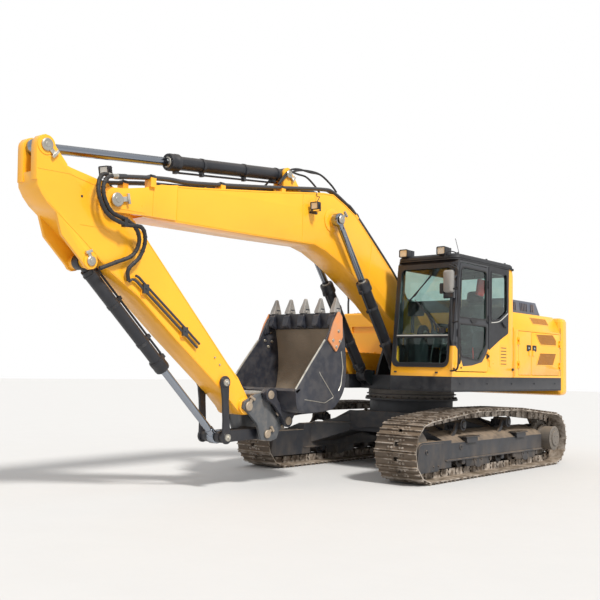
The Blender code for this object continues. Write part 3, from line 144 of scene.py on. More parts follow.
def finish_paint(graph, colour, rough, vary, dust, low_dust, wear, wear_colour, grain, coat=0.0, metal=0.0):
    """Colour variation, settled dust, worn edges, uneven gloss and a fine bump on one shader."""
    shader = graph.shader
    large, middle, fine = graph.noise(1.7), graph.noise(9.0, 6.0), graph.noise(55.0, 3.0)
    tone = graph.span(large, 0.3, 0.7)
    if isinstance(colour, tuple):
        darker = tuple(c * (1 - vary) for c in colour)
        lighter = tuple(min(1.0, c * (1 + vary * 0.6)) for c in colour)
        base = graph.blend(tone, darker, lighter)
    else:
        base = colour
    roughness = graph.span(middle, 0.25, 0.75, rough - 0.07, rough + 0.09)
    if wear:
        chipped = graph.math("MULTIPLY", graph.edges(), graph.span(middle, 0.42, 0.6))
        chipped = graph.math("MULTIPLY", chipped, wear)
        base = graph.blend(chipped, base, wear_colour)
    if dust:
        settled = graph.math("MULTIPLY", graph.span(graph.upward(), 0.25, 0.95),
                             graph.span(middle, 0.3, 0.7, 0.45, 1.0))
        near_ground = graph.span(graph.axis("Z"), low_dust[0], low_dust[1], 1.0, 0.0)
        streak = graph.span(graph.noise(5.0, 5.0, stretch=(1.0, 1.0, 0.35)), 0.42, 0.75, 0.0, 0.5)
        mask = graph.math("MAXIMUM", settled, graph.math("MULTIPLY", near_ground, streak))
        mask = graph.math("MULTIPLY", mask, dust)
        base = graph.blend(mask, base, DUST)
        roughness = graph.span(mask, 0.0, 1.0, roughness, 0.9)
    graph.feed(shader.inputs["Base Color"], base)
    graph.feed(shader.inputs["Roughness"], roughness)
    shader.inputs["Metallic"].default_value = metal
    shader.inputs["Coat Weight"].default_value = coat
    shader.inputs["Coat Roughness"].default_value = 0.12
    bump = graph.add("ShaderNodeBump")
    bump.inputs["Strength"].default_value = grain
    bump.inputs["Distance"].default_value = 0.004
    graph.links.new(graph.math("ADD", fine, graph.math("MULTIPLY", middle, 1.5)), bump.inputs["Height"])
    graph.links.new(bump.outputs[0], shader.inputs["Normal"])
    return graph.material


def painted(name, colour, rough=0.38, vary=0.06, dust=0.0, low_dust=(0.6, 2.0), wear=0.0,
            wear_colour=(0.25, 0.24, 0.23), grain=0.08, coat=0.0, metal=0.0):
    return finish_paint(Graph(name), colour, rough, vary, dust, low_dust, wear, wear_colour, grain, coat,
                        metal)


YELLOW_COLOUR = (0.93, 0.43, 0.018)
BLACK_COLOUR = (0.015, 0.0165, 0.022)
YELLOW = painted("yellow_paint", YELLOW_COLOUR, 0.34, 0.05, dust=0.10, low_dust=(1.0, 2.2), grain=0.05,
                 coat=0.35)
BLACK = painted("black_paint", BLACK_COLOUR, 0.40, 0.15, dust=0.12, low_dust=(0.2, 1.6), wear=0.12,
                grain=0.08)
FRAME = painted("undercarriage_paint", (0.024, 0.026, 0.032), 0.5, 0.2, dust=0.8, low_dust=(0.0, 0.50),
                wear=0.1, wear_colour=DUST, grain=0.2)
SLATE = painted("hood_slate", (0.085, 0.095, 0.125), 0.45, 0.08, dust=0.15, low_dust=(1.0, 1.5), wear=0.3)
COUPLER = painted("coupler_grey", (0.082, 0.088, 0.096), 0.5, 0.12, dust=0.15, low_dust=(0.2, 1.0), wear=0.15,
                  wear_colour=(0.36, 0.30, 0.24), grain=0.15)
BUCKET = painted("bucket_paint", (0.022, 0.025, 0.036), 0.40, 0.2, dust=0.16, low_dust=(0.7, 1.5), wear=0.2,
                 wear_colour=(0.34, 0.31, 0.28), grain=0.18)
TRACK = painted("track_steel", (0.135, 0.105, 0.08), 0.62, 0.35, dust=0.6, low_dust=(0.0, 0.6), wear=1.0,
                wear_colour=(0.46, 0.41, 0.36), grain=0.5, metal=0.35)
IRON = painted("cast_iron", (0.13, 0.115, 0.10), 0.6, 0.2, dust=0.5, low_dust=(0.0, 0.9), wear=0.4, grain=0.4)
CHROME = painted("rod_chrome", (0.30, 0.33, 0.38), 0.16, 0.02, grain=0.01, metal=1.0)
ZINC = painted("pin_zinc", (0.44, 0.42, 0.37), 0.38, 0.12, wear=0.6, wear_colour=(0.7, 0.68, 0.62),
               grain=0.15, metal=0.8)
RUBBER = painted("hose_rubber", (0.018, 0.018, 0.020), 0.55, 0.2, dust=0.12, low_dust=(0.3, 1.0), grain=0.5)
TRIM = painted("cab_trim", (0.019, 0.020, 0.024), 0.5, 0.15, grain=0.2)
FABRIC = painted("seat_cloth", (0.035, 0.036, 0.040), 0.85, 0.2, dust=0.15, low_dust=(1.0, 1.4), grain=0.6)
RED = painted("signal_red", (0.55, 0.025, 0.018), 0.4, 0.1, grain=0.1)
HOUSING = painted("mirror_plastic", (0.30, 0.29, 0.275), 0.45, 0.25, grain=0.15)
LENS = painted("pale_trim_and_lens", (0.62, 0.62, 0.58), 0.22, 0.06, dust=0.1, low_dust=(1.0, 1.5),
               grain=0.05, metal=0.35)
GRILLE = painted("grille_mesh", (0.50, 0.20, 0.022), 0.5, 0.15, dust=0.3, low_dust=(1.0, 2.4), grain=0.2)
# Painted shade: a dark brown-orange that stands for the shade inside grille and louvre openings.
GRILLE_PAINTED_SHADE = painted("grille_shadow", (0.20, 0.085, 0.015), 0.7, 0.3, grain=0.3)
LINES = painted("painted_lines", (0.028, 0.030, 0.036), 0.38, 0.2, dust=0.2, low_dust=(1.0, 2.0), grain=0.12,
                coat=0.2)
TOOTH = painted("worn_tooth", (0.30, 0.285, 0.27), 0.45, 0.2, wear=0.8, wear_colour=(0.6, 0.58, 0.55),
                grain=0.35, metal=0.5)
CUTTER = painted("primer_orange", (0.60, 0.235, 0.085), 0.5, 0.12, dust=0.15, low_dust=(1.4, 2.0), wear=0.6,
                 wear_colour=(0.35, 0.30, 0.27), grain=0.15)
PIN_TAN = painted("pin_tan", (0.33, 0.27, 0.205), 0.5, 0.2, dust=0.2, low_dust=(0.3, 1.2), grain=0.25,
                  metal=0.3)
EARTH = painted("dried_earth", (0.27, 0.22, 0.165), 0.92, 0.3, grain=1.0)


def cab_paint():
    """Yellow panels under a sweeping line, black above it, on the cab's shell and on its door."""
    graph = Graph("cab_two_tone")
    y = graph.math("SUBTRACT", graph.axis("Y"), AXIS.y)
    z = graph.axis("Z")
    line = graph.add("ShaderNodeFloatCurve")
    curve = line.mapping.curves[0]
    sweep = ((-1.30, 1.735), (-1.08, 1.735), (-0.99, 1.66), (-0.935, 1.56), (-0.885, 1.47), (-0.635, 1.485),
             (-0.36, 1.535), (-0.25, 1.63), (-0.19, 1.71), (0.0, 1.795), (0.20, 1.885), (0.41, 1.95),
             (0.445, 2.3), (0.47, 3.3), (0.70, 3.3))
    places = [((a + 1.30) / 2, (b - 1.30) / 2) for a, b in sweep]
    curve.points[0].location, curve.points[1].location = places[0], places[-1]
    for place in places[1:-1]:
        curve.points.new(*place)
    for point in curve.points:
        point.handle_type = "VECTOR"
    line.mapping.update()
    graph.feed(line.inputs["Value"], graph.math("DIVIDE", graph.math("ADD", y, 1.30), 2.0))
    level = graph.math("ADD", graph.math("MULTIPLY", line.outputs[0], 2.0), 1.30)
    roof = graph.span(z, 2.955, 2.957)
    under = graph.math("SUBTRACT", graph.span(graph.math("SUBTRACT", level, z), -0.001, 0.001), roof)
    inside = graph.span(graph.axis("X"), 1.325, 1.327)
    front = graph.span(y, -1.045, -1.043, 1.0, 0.0)
    rear = graph.span(y, 0.56, 0.562)
    skin = graph.math("MAXIMUM", graph.math("MAXIMUM", inside, front),
                      graph.math("MAXIMUM", rear, graph.span(graph.axis("X"), 0.423, 0.425, 1.0, 0.0)))
    yellow = graph.math("MULTIPLY", graph.math("MAXIMUM", under, 0.0), skin)
    colour = graph.blend(yellow, BLACK_COLOUR, YELLOW_COLOUR)
    return finish_paint(graph, colour, 0.32, 0.05, 0.14, (1.0, 2.2), 0.0, BLACK_COLOUR, 0.05, coat=0.35)


def glass():
    """Tinted panes that let lamps through."""
    graph = Graph("cab_glass")
    shader = graph.shader
    smear = graph.noise(6.0, 5.0)
    tint = graph.blend(graph.span(smear, 0.3, 0.7), (0.60, 0.76, 0.72), (0.68, 0.83, 0.79))
    graph.feed(shader.inputs["Base Color"], tint)
    graph.feed(shader.inputs["Roughness"], graph.span(smear, 0.5, 0.8, 0.01, 0.05))
    shader.inputs["Transmission Weight"].default_value = 1.0
    shader.inputs["IOR"].default_value = 1.45
    clear = graph.add("ShaderNodeBsdfTransparent")
    graph.feed(clear.inputs["Color"], tint)
    mix = graph.add("ShaderNodeMixShader")
    graph.links.new(graph.add("ShaderNodeLightPath").outputs["Is Shadow Ray"], mix.inputs["Fac"])
    graph.links.new(shader.outputs[0], mix.inputs[1])
    graph.links.new(clear.outputs[0], mix.inputs[2])
    graph.links.new(mix.outputs[0], graph.output.inputs["Surface"])
    return graph.material


GLASS = glass()
CAB = cab_paint()


# ---------------------------------------------------------------- shapes
def arc(centre, radius, start, end, steps):
    """Points on an arc, angles in turns."""
    turns = [start + (end - start) * i / steps for i in range(steps + 1)]
    return [(centre[0] + radius * cos(2 * pi * t), centre[1] + radius * sin(2 * pi * t)) for t in turns]


def circle(centre, radius, sides):
    return arc(centre, radius, 0, 1 - 1 / sides, sides - 1)


def rounded(corners, steps=5):
    """A closed outline from (a, b, radius) corners."""
    points = []
    for i, (a, b, radius) in enumerate(corners):
        here = Vector((a, b))
        back = (Vector(corners[i - 1][:2]) - here).normalized()
        ahead = (Vector(corners[(i + 1) % len(corners)][:2]) - here).normalized()
        if not radius:
            points.append((a, b))
            continue
        half = acos(max(-1, min(1, back.dot(ahead)))) / 2
        middle = here + (back + ahead).normalized() * radius / sin(half)
        first = here + back * radius * cos(half) / sin(half) - middle
        last = here + ahead * radius * cos(half) / sin(half) - middle
        sweep = first.angle_signed(last)
        for k in range(steps + 1):
            angle = atan2(first.y, first.x) - sweep * k / steps
            points.append((middle.x + cos(angle) * radius, middle.y + sin(angle) * radius))
    return points


def frame_of(low_a, high_a, low_b, high_b, radius, steps=5):
    """A rounded rectangle's outline."""
    return rounded([(low_a, low_b, radius), (high_a, low_b, radius), (high_a, high_b, radius),
                    (low_a, high_b, radius)], steps)


def shrunk(outline, amount):
    """A closed outline moved inwards by amount, or outwards where it is negative."""
    points = [Vector(p) for p in outline]
    area = sum(a.x * b.y - b.x * a.y for a, b in zip(points, points[1:] + points[:1]))
    side = 1 if area > 0 else -1
    moved = []
    for i, here in enumerate(points):
        before = (here - points[i - 1]).normalized()
        after = (points[(i + 1) % len(points)] - here).normalized()
        normal = Vector((-(before.y + after.y), before.x + after.x)).normalized() * side
        reach = max(0.5, normal.dot(Vector((-after.y, after.x)) * side))
        moved.append(tuple(here + normal * amount / reach))
    return moved


def smooth_path(points, steps=6):
    """A Catmull-Rom curve through the points."""
    points = [Vector(p) for p in points]
    padded = [points[0] * 2 - points[1], *points, points[-1] * 2 - points[-2]]
    path = []
    for a, b, c, d in zip(padded, padded[1:], padded[2:], padded[3:]):
        for k in range(steps):
            t = k / steps
            path.append(0.5 * (2 * b + (c - a) * t + (2 * a - 5 * b + 4 * c - d) * t * t
                               + (3 * b - a - 3 * c + d) * t ** 3))
    return [*path, points[-1]]


def spread(axis, pair, along):
    """The 3-D point with these in-plane coordinates and this coordinate on the axis."""
    a, b = pair
    return {"X": (along, a, b), "Y": (a, along, b), "Z": (a, b, along)}[axis]


def round_edges(item, width, segments, angle):
    """A bevel on the edges that turn by more than this many degrees."""
    edge = item.modifiers.new("edge", "BEVEL")
    edge.width = width
    edge.segments = segments
    edge.limit_method = "ANGLE"
    edge.angle_limit = radians(angle)
    edge.harden_normals = True


class Shape:
    """Faces collected for one piece, in the machine's own frame. paint picks the next faces' material."""

    def __init__(self):
        self.points, self.faces, self.paints, self.paint = [], [], [], 0

    def add(self, points, faces):
        start = len(self.points)
        self.points += [Vector(p) for p in points]
        self.faces += [[start + i for i in face] for face in faces]
        self.paints += [self.paint] * len(faces)

    def rings(self, rings, closed=False):
        """A skin over rings of as many points each, capped at both ends unless it closes on itself."""
        n, count = len(rings[0]), len(rings)
        faces = []
        for r in range(count if closed else count - 1):
            a, b = r * n, (r + 1) % count * n
            faces += [(a + i, a + (i + 1) % n, b + (i + 1) % n, b + i) for i in range(n)]
        if not closed:
            faces += [tuple(range(n)), tuple(range((count - 1) * n, count * n))]
        self.add([p for ring in rings for p in ring], faces)

    def slab(self, axis, outline, low, high):
        self.rings([[spread(axis, p, at) for p in outline] for at in (low, high)])

    def side_slab(self, side, outline, inner, outer, at=0.0):
        """A slab along X on one side of the plane X = at; side is 1 or -1."""
        self.slab("X", outline, *sorted((at + side * inner, at + side * outer)))

    def box(self, x, y, z):
        self.slab("Z", [(x[0], y[0]), (x[1], y[0]), (x[1], y[1]), (x[0], y[1])], *z)

    def hoop(self, axis, outer, inner, low, high):
        """A plate with a hole: two outlines of as many points."""
        self.rings([[spread(axis, o, low), spread(axis, o, high), spread(axis, i, high), spread(axis, i, low)]
                    for o, i in zip(outer, inner)], closed=True)

    def lathe(self, axis, centre, profile, sides=24):
        """A round solid from (along, radius) pairs."""
        self.rings([[spread(axis, p, along) for p in circle(centre, radius, sides)]
                    for along, radius in profile])

    def ring(self, axis, centre, inner, outer, low, high, sides=32):
        self.hoop(axis, circle(centre, outer, sides), circle(centre, inner, sides), low, high)

    def tube(self, path, radius, sides=10):
        """A round bar along a list of 3-D points; radius may be one number or one for each point."""
        path = [Vector(p) for p in path]
        radii = radius if isinstance(radius, (list, tuple)) else [radius] * len(path)
        ahead = (path[1] - path[0]).normalized()
        side = ahead.orthogonal().normalized()
        rings = []
        for i, here in enumerate(path):
            way = (path[min(i + 1, len(path) - 1)] - path[max(i - 1, 0)]).normalized()
            side = (side - way * side.dot(way)).normalized()
            over = way.cross(side)
            rings.append([here + (side * cos(2 * pi * k / sides) + over * sin(2 * pi * k / sides)) * radii[i]
                          for k in range(sides)])
        self.rings(rings)

    def rod(self, start, end, radius, sides=12):
        self.tube([start, end], radius, sides)

    def stepped(self, axis, outline, steps):
        """An outline's skin through (along, inset) steps."""
        self.rings([[spread(axis, p, along) for p in shrunk(outline, inset)] for along, inset in steps])

    def curve(self, points, steps, radius, sides=10):
        """A round bar along a smooth path through the points."""
        self.tube(smooth_path(points, steps), radius, sides)

    def bolt_circle(self, axis, centre, radius, count, at, size, start=0.0):
        """Bolts round a circle that stand out along the axis; start is the first one's angle."""
        for k in range(count):
            angle = start + 2 * pi * k / count
            place = (centre[0] + radius * cos(angle), centre[1] + radius * sin(angle))
            self.bolt(spread(axis, place, at), spread(axis, (0, 0), 1), size)

    def bolt(self, at, way, size=0.012):
        """A hexagon head on its washer; way is the direction it stands out."""
        at, way = Vector(at), Vector(way).normalized()
        self.rod(at - way * size * 0.3, at + way * size * 0.25, size * 1.35, 12)
        self.rod(at, at + way * size * 0.9, size, 6)

    def pin_end(self, at, side, radius, keeper=None):
        """A pin's capped end that stands out along X, with its keeper plate towards the keeper's (Y, Z)."""
        x, y, z = at
        self.lathe("X", (y, z), [(x, radius), (x + side * 0.014, radius), (x + side * 0.022, radius - 0.01)],
                   24)
        self.lathe("X", (y, z), [(x + side * 0.02, radius * 0.45), (x + side * 0.026, radius * 0.4)], 16)
        if keeper:
            run = (Vector(keeper) - Vector((y, z))).normalized()
            across = Vector((-run.y, run.x))
            foot = Vector((y, z))
            tip = foot + run * radius * 1.9
            neck = [foot + across * radius * 0.35, foot - across * radius * 0.35,
                    tip - across * radius * 0.35, tip + across * radius * 0.35]
            self.side_slab(side, [tuple(p) for p in neck], 0.0, 0.012, x)
            bar = [tip + across * radius * 0.75 - run * 0.014, tip - across * radius * 0.75 - run * 0.014,
                   tip - across * radius * 0.75 + run * 0.014, tip + across * radius * 0.75 + run * 0.014]
            self.side_slab(side, [tuple(p) for p in bar], 0.0, 0.024, x)

    def copy(self, other, matrix=Matrix.Identity(4)):
        """Another shape's faces, placed by a matrix."""
        start = len(self.points)
        self.points += [matrix @ p for p in other.points]
        self.faces += [[start + i for i in face] for face in other.faces]
        self.paints += other.paints

    def placed(self, matrix):
        """This shape's faces as a new shape, placed by a matrix."""
        made = Shape()
        made.copy(self, matrix)
        return made

    def put(self, name, body, paints, bevel=0.0, segments=2, replaces=(), angle=35, ride=True):
        """The piece itself: one object that rides on a body."""
        mesh = bpy.data.meshes.new(name)
        mesh.from_pydata([tuple(p + AXIS) for p in self.points], [], self.faces)
        for paint in paints if isinstance(paints, (list, tuple)) else [paints]:
            mesh.materials.append(paint)
        mesh.polygons.foreach_set("material_index", self.paints)
        made = bmesh.new()
        made.from_mesh(mesh)
        bmesh.ops.recalc_face_normals(made, faces=made.faces)
        made.to_mesh(mesh)
        made.free()
        mesh.shade_smooth()
        mesh.set_sharp_from_angle(angle=radians(angle))
        item = bpy.data.objects.new(name, mesh)
        bpy.context.scene.collection.objects.link(item)
        if bevel:
            round_edges(item, bevel, segments, angle)
        if ride:
            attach(item, body)
        if replaces:
            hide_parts(*replaces)
        return item


MIRROR_X = Matrix.Scale(-1, 4, (1, 0, 0))
ON_SIDE = {1: Matrix.Identity(4), -1: MIRROR_X}
SIDE_NAME = {1: "left", -1: "right"}


# ---------------------------------------------------------------- CAD nodes: edges and paint
def refine(node, paint, bevel):
    """A CAD node with its edges rounded and a finished material."""
    item = frame["nodes"][node]
    item.data.materials.clear()
    item.data.materials.append(paint)
    if bevel:
        weld = item.modifiers.new("weld", "WELD")
        weld.merge_threshold = 0.00005
        flat = item.modifiers.new("flat", "DECIMATE")
        flat.decimate_type = "DISSOLVE"
        flat.angle_limit = radians(0.5)
        round_edges(item, bevel, 2, 32)
        item.data.shade_smooth()


for paint, bevel, nodes in (
        (YELLOW, 0.010, "boom arm"), (YELLOW, 0.012, "engine_housing"),
        (YELLOW, 0.004, "left_front_side_door left_rear_side_door right_side_door"),
        (YELLOW, 0.006, "tool_box tool_box_lid"), (YELLOW, 0, "fuel_tank hydraulic_tank counterweight"),
        (CAB, 0.006, "cab_shell"), (SLATE, 0.008, "engine_hood"),
        (BLACK, 0.006, "main_frame bucket_link"),
        (IRON, 0, "engine_block left_idler right_idler left_sprocket right_sprocket"),
        (IRON, 0.003, "slew_ring"),
        (FRAME, 0.008, "center_frame"), (FRAME, 0.006, "left_track_frame right_track_frame"),
        (COUPLER, 0.004, "quick_coupler"),
        (BLACK, 0.003, "left_boom_cylinder_barrel right_boom_cylinder_barrel arm_cylinder_barrel"),
        (BLACK, 0.003, "bucket_cylinder_barrel"),
        (CHROME, 0.002, "left_boom_cylinder_rod right_boom_cylinder_rod arm_cylinder_rod bucket_cylinder_rod"),
        (GLASS, 0, "windshield_lower windshield_upper rear_window right_window")):
    for node in nodes.split():
        refine(node, paint, bevel)


# ---------------------------------------------------------------- tracks
GAUGE, SHOE_WIDTH, TUMBLER_SPACING = 2.38, 0.60, 3.66
WRAP_RADIUS, GROUSER, SHOE_COUNT = 0.375, 0.025, 50
TUMBLER_HEIGHT = WRAP_RADIUS + GROUSER
CARRIERS, CARRIER_RISE, CARRIER_RADIUS, CARRIER_DROP = (-0.70, 0.62), 0.875, 0.065, 0.125
PLATE, LINK_DROP, LINK_PIN_DROP = 0.012, 0.105, 0.062
ROLLER_Z, ROLLERS = 0.2223, 8
FRAME_INNER, FRAME_OUTER = 1.00, 1.37
FRAME_Y = (-1.31, 1.55)
HALF = TUMBLER_SPACING / 2


def track_marks():
    """The joints of the chain of shoes, evenly spaced along the closed line of their plates."""
    tops = [(HALF, TUMBLER_HEIGHT)] + [(y, CARRIER_RISE)
                                       for y in reversed(CARRIERS)] + [(-HALF, TUMBLER_HEIGHT)]

    def tangent(centre, point, side):
        away = Vector(point) - Vector(centre)
        return (atan2(away.y, away.x) + side * acos(WRAP_RADIUS / away.length)) / (2 * pi)

    path = arc(tops[0], WRAP_RADIUS, -0.25, tangent(tops[0], tops[1], -1), 40)
    path += tops[1:-1]
    path += arc(tops[-1], WRAP_RADIUS, tangent(tops[-1], tops[-2], 1), 0.75, 40)
    corners = [Vector(p) for p in path]
    legs = list(zip(corners, corners[1:] + corners[:1]))
    pitch = sum((b - a).length for a, b in legs) / SHOE_COUNT
    marks, travelled = [], 0.0
    for a, b in legs:
        length = (b - a).length
        while len(marks) < SHOE_COUNT and pitch * len(marks) < travelled + length:
            marks.append(a.lerp(b, (pitch * len(marks) - travelled) / length))
        travelled += length
    return marks, pitch


def shoe(pitch):
    """One triple-grouser shoe with its mud hole, bolts, links and pin, along Y with Z outwards."""
    half = pitch / 2
    made = Shape()

    def profile(low, high):
        """The plate's section between two places along it, with the ribs that stand there."""
        top = [(low, 0.0)]
        for at in (-half + 0.012, 0.0, half - 0.012):
            if low - 0.001 <= at - 0.006 and at + 0.006 <= high + 0.001:
                top += [(max(low, at - 0.012), 0.002), (at - 0.006, GROUSER), (at + 0.006, GROUSER),
                        (min(high, at + 0.012), 0.002)]
        top.append((high, 0.0))
        return [*top, (high, -PLATE), (low, -PLATE)]

    edge, hole = SHOE_WIDTH / 2, (0.032, 0.026)
    for side in (-1, 1):
        made.side_slab(side, profile(-half + 0.002, half - 0.002), hole[0], edge)
    made.slab("X", profile(-half + 0.002, -hole[1]), -hole[0], hole[0])
    made.slab("X", profile(hole[1], half - 0.002), -hole[0], hole[0])
    for x in (-0.105, -0.058, 0.058, 0.105):
        for y in (-0.05, 0.048):
            made.bolt((x, y, 0.003), (0, 0, 1), 0.0125)
    for side in (-1, 1):
        web = [(-half - 0.012, -PLATE - 0.012), (-half + 0.03, -PLATE), (half - 0.03, -PLATE),
               (half + 0.012, -PLATE - 0.012), (half + 0.026, -LINK_PIN_DROP), (half + 0.012, -LINK_DROP),
               (-half - 0.012, -LINK_DROP), (-half - 0.026, -LINK_PIN_DROP)]
        made.side_slab(side, web, 0.058, 0.088)
    made.rod((-0.10, -half, -LINK_PIN_DROP), (0.10, -half, -LINK_PIN_DROP), 0.021, 12)
    made.rod((-0.057, -half, -LINK_PIN_DROP), (0.057, -half, -LINK_PIN_DROP), 0.032, 12)
    return made


def track(name, side):
    """The whole chain of shoes of one side, in place of its CAD loop."""
    marks, pitch = track_marks()
    one = shoe(pitch)
    whole = Shape()
    for i, here in enumerate(marks):
        run = marks[(i + 1) % SHOE_COUNT] - here
        middle = here + run / 2
        along = Vector((0, run.x, run.y)).normalized()
        outward = Vector((0, run.y, -run.x)).normalized()
        turn = Matrix((Vector((1, 0, 0)), along, outward)).transposed().to_4x4()
        whole.copy(one, Matrix.Translation((side * GAUGE / 2, middle.x, middle.y)) @ turn)
    whole.put(f"{name}_shoes", "undercarriage", TRACK, replaces=[name])


def frame_trim(side):
    """What the frame of one side carries: flanged rollers, carriers, guards, steps, lips and plates."""
    made = Shape()
    middle = GAUGE / 2
    for i in range(ROLLERS):
        y = FRAME_Y[0] + 0.12 + (FRAME_Y[1] - FRAME_Y[0] - 0.28) * i / (ROLLERS - 1)
        for x in (middle - 0.11, middle + 0.085):
            made.lathe("X", (y, ROLLER_Z), [(x, 0.075), (x + 0.004, 0.094), (x + 0.021, 0.094),
                                            (x + 0.025, 0.075)], 20)
        for x, out in ((middle - 0.165, -1), (middle + 0.12, 1)):
            collar = [(y - 0.05, ROLLER_Z + 0.045), (y + 0.05, ROLLER_Z + 0.045),
                      (y + 0.045, ROLLER_Z - 0.03), (y + 0.02, ROLLER_Z - 0.045),
                      (y - 0.02, ROLLER_Z - 0.045), (y - 0.045, ROLLER_Z - 0.03)]
            made.slab("X", collar, x, x + 0.05)
            made.lathe("X", (y, ROLLER_Z), [(x - 0.004, 0.03), (x + 0.054, 0.03)], 14)
            made.bolt((x + 0.05 if out > 0 else x, y - 0.032, ROLLER_Z + 0.028), (out, 0, 0), 0.009)
            made.bolt((x + 0.05 if out > 0 else x, y + 0.032, ROLLER_Z + 0.028), (out, 0, 0), 0.009)
    for y in CARRIERS:
        z = CARRIER_RISE - CARRIER_DROP - CARRIER_RADIUS
        for x in (middle - 0.10, middle + 0.075):
            made.lathe("X", (y, z), [(x, 0.06), (x + 0.005, 0.078), (x + 0.02, 0.078), (x + 0.025, 0.06)], 20)
        made.lathe("X", (y, z), [(middle + 0.10, 0.05), (middle + 0.112, 0.045), (middle + 0.118, 0.02)], 20)
        made.bolt_circle("X", (y, z), 0.03, 4, middle + 0.106, 0.006, pi / 4)
        made.slab("X", [(y - 0.30, 0.50), (y - 0.20, 0.50), (y - 0.10, 0.60), (y - 0.05, 0.70),
                        (y - 0.10, 0.72), (y - 0.16, 0.62)], middle + 0.02, middle + 0.05)
    made.box((FRAME_OUTER - 0.07, FRAME_OUTER + 0.018), FRAME_Y, (0.242, 0.262))
    made.box((FRAME_INNER - 0.01, FRAME_INNER + 0.07), FRAME_Y, (0.242, 0.262))
    for y in (-0.42, 1.02):
        ridge = [(y - 0.14, 0.25), (y + 0.14, 0.25), (y + 0.10, 0.14), (y + 0.03, 0.115), (y - 0.03, 0.115),
                 (y - 0.10, 0.14)]
        made.slab("X", ridge, FRAME_OUTER - 0.03, FRAME_OUTER - 0.004)
        made.slab("X", ridge, FRAME_INNER + 0.004, FRAME_INNER + 0.03)
        for k in (-0.07, 0.07):
            made.bolt((FRAME_OUTER - 0.004, y + k, 0.215), (1, 0, 0), 0.012)
    for y in (-0.66, 0.80):
        step = rounded([(y - 0.20, 0.53, 0.02), (y + 0.20, 0.53, 0.02), (y + 0.16, 0.505, 0.0),
                        (y + 0.13, 0.455, 0.02), (y - 0.13, 0.455, 0.02), (y - 0.16, 0.505, 0.0)], 3)
        made.slab("X", step, FRAME_OUTER - 0.05, FRAME_OUTER + 0.03)
        made.box((FRAME_OUTER - 0.09, FRAME_OUTER + 0.045), (y - 0.19, y + 0.19), (0.528, 0.540))
        for k in range(9):
            at = y - 0.17 + 0.0425 * k
            made.box((FRAME_OUTER - 0.085, FRAME_OUTER + 0.042), (at - 0.004, at + 0.004), (0.54, 0.549))
    nose = rounded([(-HALF - 0.18, 0.135, 0.07), (-1.50, 0.135, 0.03), (-1.43, 0.215, 0.03),
                    (-1.43, 0.49, 0.02), (-HALF - 0.13, 0.49, 0.10)], 4)
    made.slab("X", nose, FRAME_OUTER - 0.004, FRAME_OUTER + 0.012)
    lid = [(FRAME_OUTER - 0.30, 0.505), (FRAME_OUTER + 0.005, 0.475), (FRAME_OUTER + 0.005, 0.49),
           (FRAME_OUTER - 0.30, 0.52)]
    made.slab("Y", lid, -HALF - 0.02, -1.36)
    made.ring("X", (-1.78, 0.385), 0.018, 0.034, FRAME_OUTER + 0.010, FRAME_OUTER + 0.020, 20)
    made.ring("X", (-0.915, 0.405), 0.022, 0.040, FRAME_OUTER - 0.002, FRAME_OUTER + 0.008, 6)
    for y in (-1.62, -1.5):
        made.bolt((FRAME_OUTER + 0.010, y, 0.20), (1, 0, 0), 0.012)
    made.paint = 1
    made.lathe("X", (-1.78, 0.385), [(FRAME_OUTER + 0.008, 0.019), (FRAME_OUTER + 0.013, 0.018)], 16)
    made.lathe("X", (-0.915, 0.405), [(FRAME_OUTER - 0.002, 0.023), (FRAME_OUTER + 0.004, 0.022)], 6)
    made.placed(ON_SIDE[side]).put(f"{SIDE_NAME[side]}_frame_trim", "undercarriage", [FRAME, RUBBER],
                                   bevel=0.003, segments=1)


def drive_end(side):
    """The sprocket's teeth and the bolted face of the final drive."""
    made = Shape()
    middle, centre = GAUGE / 2, (HALF, TUMBLER_HEIGHT)
    teeth = 21
    outline = []
    for k in range(teeth):
        for turn, reach in ((0.0, 0.262), (0.22, 0.266), (0.36, 0.292), (0.50, 0.297), (0.64, 0.292),
                            (0.78, 0.266)):
            angle = 2 * pi * (k + turn) / teeth
            outline.append((centre[0] + reach * cos(angle), centre[1] + reach * sin(angle)))
    made.hoop("X", outline, circle(centre, 0.20, len(outline)), middle - 0.034, middle + 0.034)
    face = middle + 0.265
    made.ring("X", centre, 0.185, 0.205, face - 0.20, face - 0.16, 40)
    made.lathe("X", centre, [(face, 0.186), (face + 0.006, 0.176), (face + 0.008, 0.17)], 40)
    made.lathe("X", centre, [(face + 0.02, 0.118), (face + 0.026, 0.11)], 32)
    made.bolt_circle("X", centre, 0.148, 16, face + 0.006, 0.0095)
    made.bolt_circle("X", centre, 0.06, 3, face + 0.025, 0.012, 0.5)
    made.placed(ON_SIDE[side]).put(f"{SIDE_NAME[side]}_drive_face", "undercarriage", IRON, bevel=0.002,
                                   segments=1)


